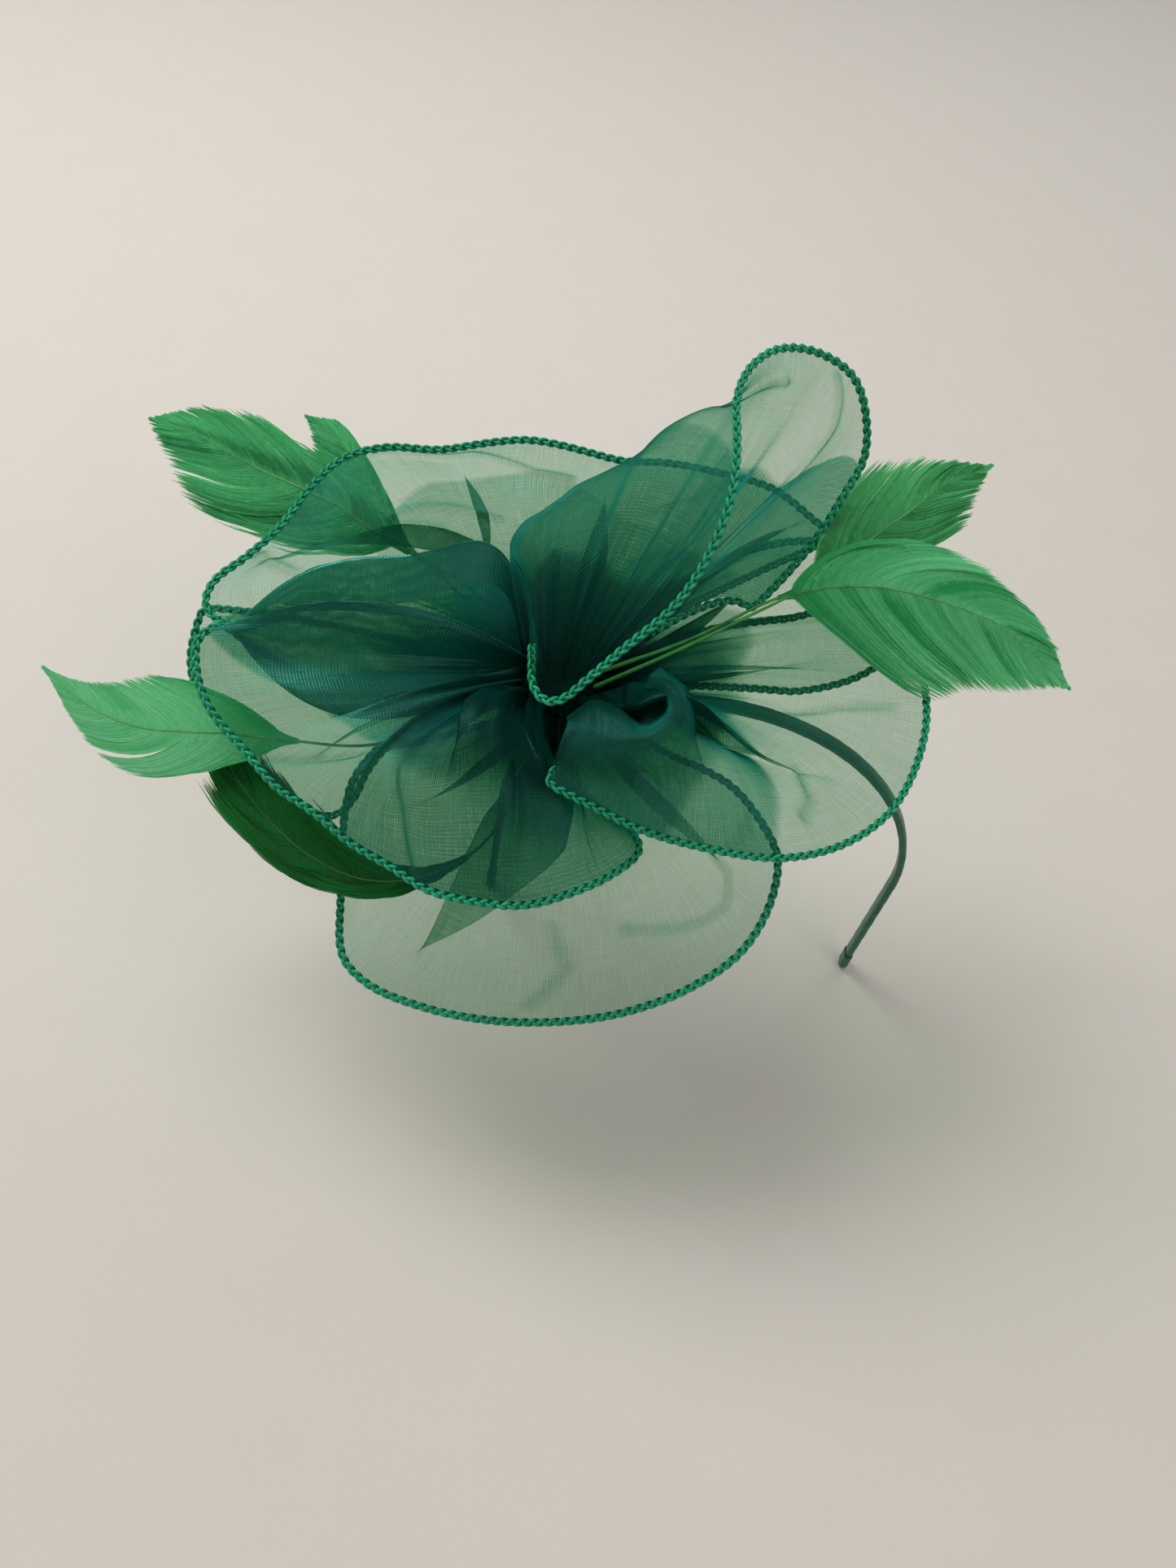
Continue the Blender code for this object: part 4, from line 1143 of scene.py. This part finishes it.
for name, stations in FEATHERS.items():
    line, widths, run, first = feather_line(stations)
    spray, shag, sweep_back, dark, light = FEATHER_LOOK[name]
    look = (shag, sweep_back, FEATHER_BANDS.get(name, []))
    halves = [feather_barbs(line, widths, run, first, side, *look) for side in (0, 1)]
    points, faces = gathered([half[:2] for half in halves])
    uv, tint = (np.concatenate([half[part] for half in halves]) for part in (2, 3))
    surface = feather_material("feather_" + name, dark, light)
    vane = piece(name + "_barbs", world(points), faces, surface, uv, tint=tint)
    fit(vane, spray, "feather", name + "_vane")
    thick, thin = QUILL_RADII
    radii = (thick + (thin - thick) * (run / run[-1]) ** 0.7)[:, None]
    radii[[0, -1]] *= PINCH
    _, sides, ups = carried(line, LIFT)
    points, faces = round_sweep(line, sides, ups, radii, around(8))
    surface = DARK_QUILL if name == "front_feather" else QUILL
    shaft = piece(name + "_shaft", world(points), faces, surface)
    fit(shaft, spray, "quill", name + "_quill")


# ---------------------------------------------------------------- head band


def band_section(run):
    """Satin wound round the strap: a flattened oval whose skin steps up at every turn."""
    turn = around(BAND_CORNERS)
    x, y = (np.sign(part) * np.abs(part) ** BAND_SQUARE for part in (np.cos(turn), np.sin(turn)))
    winding = (run[:, None] / WINDING_PITCH + turn / FULL_TURN) % 1.0
    step = 0.10 * (1.0 - winding) - 0.12 * np.exp(-((winding - 0.03) / 0.03) ** 2) - 0.1
    return x * (BAND_WIDTH / 2 + step), y * (BAND_THICK / 2 + step), paired(turn * 1.6, run[:, None])


def band_line(side):
    """Centre line of one half of the band, from its tip up to the flower."""
    rise = np.linspace(1.2, BAND_CENTRE_Z, 60)
    straight = np.stack([np.full(60, side * BAND_RADIUS), np.zeros(60), rise], axis=-1)
    count = 160 if side < 0 else 420
    angles = np.linspace(side * math.pi / 2, math.radians(PAD_ANGLE), count)[1:]
    x = np.sin(angles) * BAND_RADIUS
    z = BAND_CENTRE_Z + np.cos(angles) * BAND_RADIUS
    arch = np.stack([x, np.zeros(len(angles)), z], axis=-1)
    return resample(np.concatenate([straight, arch]), BAND_RING)


for side, word in ((-1, "right"), (1, "left")):
    arm = word + "_arm"
    path, run = band_line(side)
    across = np.broadcast_to(np.array([0.0, 1.0, 0.0]), path.shape)
    outward = np.cross(unit(np.gradient(path, axis=0)), across) * -side
    x, y, uv = band_section(run)
    x[:3] *= BAND_END
    y[:3] *= BAND_END
    band = piece("band_satin_" + word, *sweep(path, across, outward, x, y), SATIN, uv)
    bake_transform(band)
    crown = ["band_ribbon_crown"] if word == "left" else []
    fit(band, None, "satin", "band_ribbon_" + word, *crown)

    # ribbon end folded over the tip and pressed flat
    run = np.linspace(0.0, FOLD_LENGTH, FOLD_RINGS)
    still = np.zeros(FOLD_RINGS)
    path = np.stack([still + side * BAND_RADIUS, still, run + 0.1], axis=-1)
    grown = np.interp(run, (0.0, 0.6, 1.6, 8.0, FOLD_LENGTH), (0.35, 0.85, 1.0, 1.0, 0.97))[:, None]
    x, y, _ = band_section(still)
    x, y = (part * grown * swell for part, swell in zip((x, y), FOLD_SWELL))
    flat = outward[:1].repeat(FOLD_RINGS, axis=0)
    points, faces = sweep(path, across[:FOLD_RINGS], flat, x, y)
    _, _, uv = band_section(run)
    cap = piece("band_fold_" + word, points, faces, SATIN, uv)
    fit(cap, arm, "satin", "band_tip_" + word)


# ---------------------------------------------------------------- base of the flower


def felt_pad(name, node, thickness):
    """A felt round blown slightly full by a short cloth simulation, then roughened."""
    low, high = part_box(node)
    centre = np.array((low + high) / 2) / MM + REST_POINT
    side = unit(np.cross(PAD_AXIS, (0.0, 1.0, 0.0)))
    up = np.cross(PAD_AXIS, side)
    turn = around(PAD_CORNERS)[:, None]
    spoke = np.cos(turn) * side + np.sin(turn) * up
    height = PAD_AXIS * (thickness - 0.2)
    points = np.concatenate([centre + r * spoke + h * height for r, h in PAD_RINGS])
    faces = grid_faces(len(PAD_RINGS), PAD_CORNERS, closed=True).tolist()
    corners = list(range(len(points)))
    faces.append(corners[:PAD_CORNERS][::-1])
    faces.append(corners[-PAD_CORNERS:])
    made = piece(name, points, faces, FELT)
    puff(made)
    mesh = made.data
    noise = random.normal(size=len(mesh.vertices)) * PAD_NAP
    for vertex, shift in zip(mesh.vertices, noise):
        vertex.co += vertex.normal * float(shift)
    fit(made, "crown", "felt", node)


def puff(made):
    """Run a short pressure cloth simulation and keep its result, no point moving beyond the cap."""
    scene = bpy.context.scene
    rest = np.empty(len(made.data.vertices) * 3)
    made.data.vertices.foreach_get("co", rest)
    modifier = made.modifiers.new("Cloth", "CLOTH")
    settings = modifier.settings
    settings.quality = 6
    settings.mass = 0.2
    settings.use_pressure = True
    settings.uniform_pressure_force = 3.0
    settings.effector_weights.gravity = 0.0
    settings.tension_stiffness = 60.0
    settings.bending_stiffness = 8.0
    for number in range(1, PUFF_FRAMES + 1):
        scene.frame_set(number)
    moved = np.empty_like(rest)
    graph = bpy.context.evaluated_depsgraph_get()
    made.evaluated_get(graph).data.vertices.foreach_get("co", moved)
    made.modifiers.remove(modifier)
    scene.frame_set(1)
    shift = (moved - rest).reshape(-1, 3)
    far = np.linalg.norm(shift, axis=1, keepdims=True)
    shift *= np.minimum(1.0, PAD_SWELL / np.maximum(far, 1e-9))
    made.data.vertices.foreach_set("co", rest + shift.ravel())
    made.data.update()


felt_pad("base_felt", "base_pad", BASE_THICK)
felt_pad("backing_felt", "backing_pad", BACKING_THICK)

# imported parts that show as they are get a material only
CORES = ["band_core_crown", "band_core_right", "band_core_left"]
STITCHES = ["stitch_%d" % number for number in range(1, 7)]
for node in CORES + STITCHES:
    materials = frame["nodes"][node].data.materials
    materials.clear()
    materials.append(STEEL if node in CORES else THREAD)


def wound_stem():
    """Thread wound tightly round the gathered cloth, from the pad up to the heart."""
    top = BAND_RADIUS + BAND_THICK / 2 + 2.6
    foot = PAD_AXIS * top + (0.0, 0.0, BAND_CENTRE_Z)
    upper = world([(0.0, -2.0, -7.0), (0.0, 0.0, 0.0), (0.0, 0.0, 10.0)])
    points = np.array([foot, foot + PAD_AXIS * 4.0, *upper])
    spans = spacing(points)
    path, run = resample(smooth(points, spans, np.linspace(0, spans[-1], 80)), 0.25)
    run = run[:, None]
    radii = np.interp(run / run[-1], (0.0, 0.3, 0.6, 0.8, 1.0), (5.3, 5.5, 7.4, 8.3, 7.0))
    _, sides, ups = carried(path, AXIS_LIFT)
    turn = around(48)
    winding = np.cos(FULL_TURN * (run / WOUND_PITCH + turn / FULL_TURN))
    r = radii * (1 + 0.03 * np.sin(turn * 9 + 1.0)) + 0.16 * winding
    r[[0, -1]] *= PINCH
    made = piece("wound_stem", *round_sweep(path, sides, ups, r, turn), THREAD)
    fit(made, "crown", "thread", "gather_stem")


def heart_cloth(name, r, turn, height, uv, layers):
    """Rings of tightly gathered organza at the heart."""
    faces = grid_faces(*r.shape, closed=True)
    # the heart's cloth gets a fixed painted light of 0.4: painted shade
    values = {"gather": np.full(r.size, layers), "lustre": np.full(r.size, 0.4)}
    made = piece(name, ringed(r, turn, height), faces, ORGANZA, uv, **values)
    fit(made, "crown", "organza", "gather_knot")


def heart_knot():
    """Puckered organza drawn together at the heart."""
    share = np.linspace(0.0, 1.0, 26)[:, None]
    turn = around(160)
    profile = np.interp(share, (0.0, 0.2, 0.5, 0.8, 1.0), (4.4, 5.5, 5.2, 3.2, 0.3))
    height = np.interp(share, (0.0, 0.3, 0.7, 1.0), (10.5, 11.8, 13.4, 13.8))
    pucker = 1 + 0.10 * np.sin(17 * turn + 5 * share) + 0.05 * np.sin(31 * turn - 4 * share)
    heart_cloth("heart_knot", profile * pucker, turn, height, paired(turn * 5, share * 8), 6.0)


def heart_ruffle():
    """The bunched roots of the loops: deep radial folds round the top of the stem."""
    share = np.linspace(0.0, 1.0, 40)[:, None]
    turn = around(420)
    fold = np.sin(21 * turn + 0.9 * np.sin(5 * turn)) + 0.4 * np.sin(37 * turn + 3 * share)
    r = (6.0 + 15.0 * share) * (1 + 0.05 * fold * share)
    height = 11.0 - 10.5 * share**0.8 + 1.5 * fold * share**0.7
    heart_cloth("heart_ruffle", r, turn, height, paired(turn * 16, share * 24), 7.0)


wound_stem()
heart_knot()
heart_ruffle()


# ---------------------------------------------------------------- floor, light and camera


def soft_light(name, place, size, power, colour):
    """A round area light, placed in metres in the band's frame and aimed at the flower."""
    data = bpy.data.lights.new(name, "AREA")
    data.shape = "DISK"
    data.size = size
    data.energy = power
    data.color = colour
    lamp = bpy.data.objects.new(name, data)
    lamp.location = Vector(place) - REST_OFFSET
    aim = Vector((FLOWER_CENTRE - REST_POINT) * MM) - lamp.location
    lamp.rotation_euler = aim.to_track_quat("-Z", "Y").to_euler()
    bpy.context.scene.collection.objects.link(lamp)


corners = [(-1, -1), (1, -1), (1, 1), (-1, 1)]
floor_points = np.array([(x * FLOOR_HALF, y * FLOOR_HALF, -FLOOR_DROP) for x, y in corners])
piece("floor", floor_points, [[0, 1, 2, 3]], floor_material())

soft_light("window", (-0.85, 0.35, 1.30), 0.9, 13.0, (1.0, 0.985, 0.96))
soft_light("room_fill", (0.9, -0.9, 1.1), 1.4, 3.5, (1.0, 0.97, 0.93))
soft_light("back_fill", (0.5, 1.2, 1.1), 1.2, 3.2, (0.97, 0.99, 1.0))

scene = bpy.context.scene
scene.world = bpy.data.worlds.new("room")
scene.world.use_nodes = True
ambient = scene.world.node_tree.nodes["Background"]
ambient.inputs["Color"].default_value = (1.0, 0.975, 0.94, 1.0)
ambient.inputs["Strength"].default_value = 0.29
scene.view_settings.view_transform = "Standard"
scene.cycles.transparent_max_bounces = 40
scene.cycles.max_bounces = 8

# the camera, above and in front of the flower, rolled a little as in the photograph
camera_data = bpy.data.cameras.new("camera")
camera_data.lens = 27.03
camera_data.sensor_width = 36.0
camera_data.clip_start = 0.01
camera = bpy.data.objects.new("camera", camera_data)
right = Vector((0.975, 0.1729, 0.1386)).normalized()
back = Vector((0.0, -0.6252, 0.7805)).normalized()
up = back.cross(right).normalized()
right = up.cross(back)
turned = Matrix((right, up, back)).transposed().to_4x4()
turned.translation = Vector((-0.0429, -0.2576, 0.3975)) - REST_OFFSET
camera.matrix_world = turned
scene.collection.objects.link(camera)
scene.camera = camera
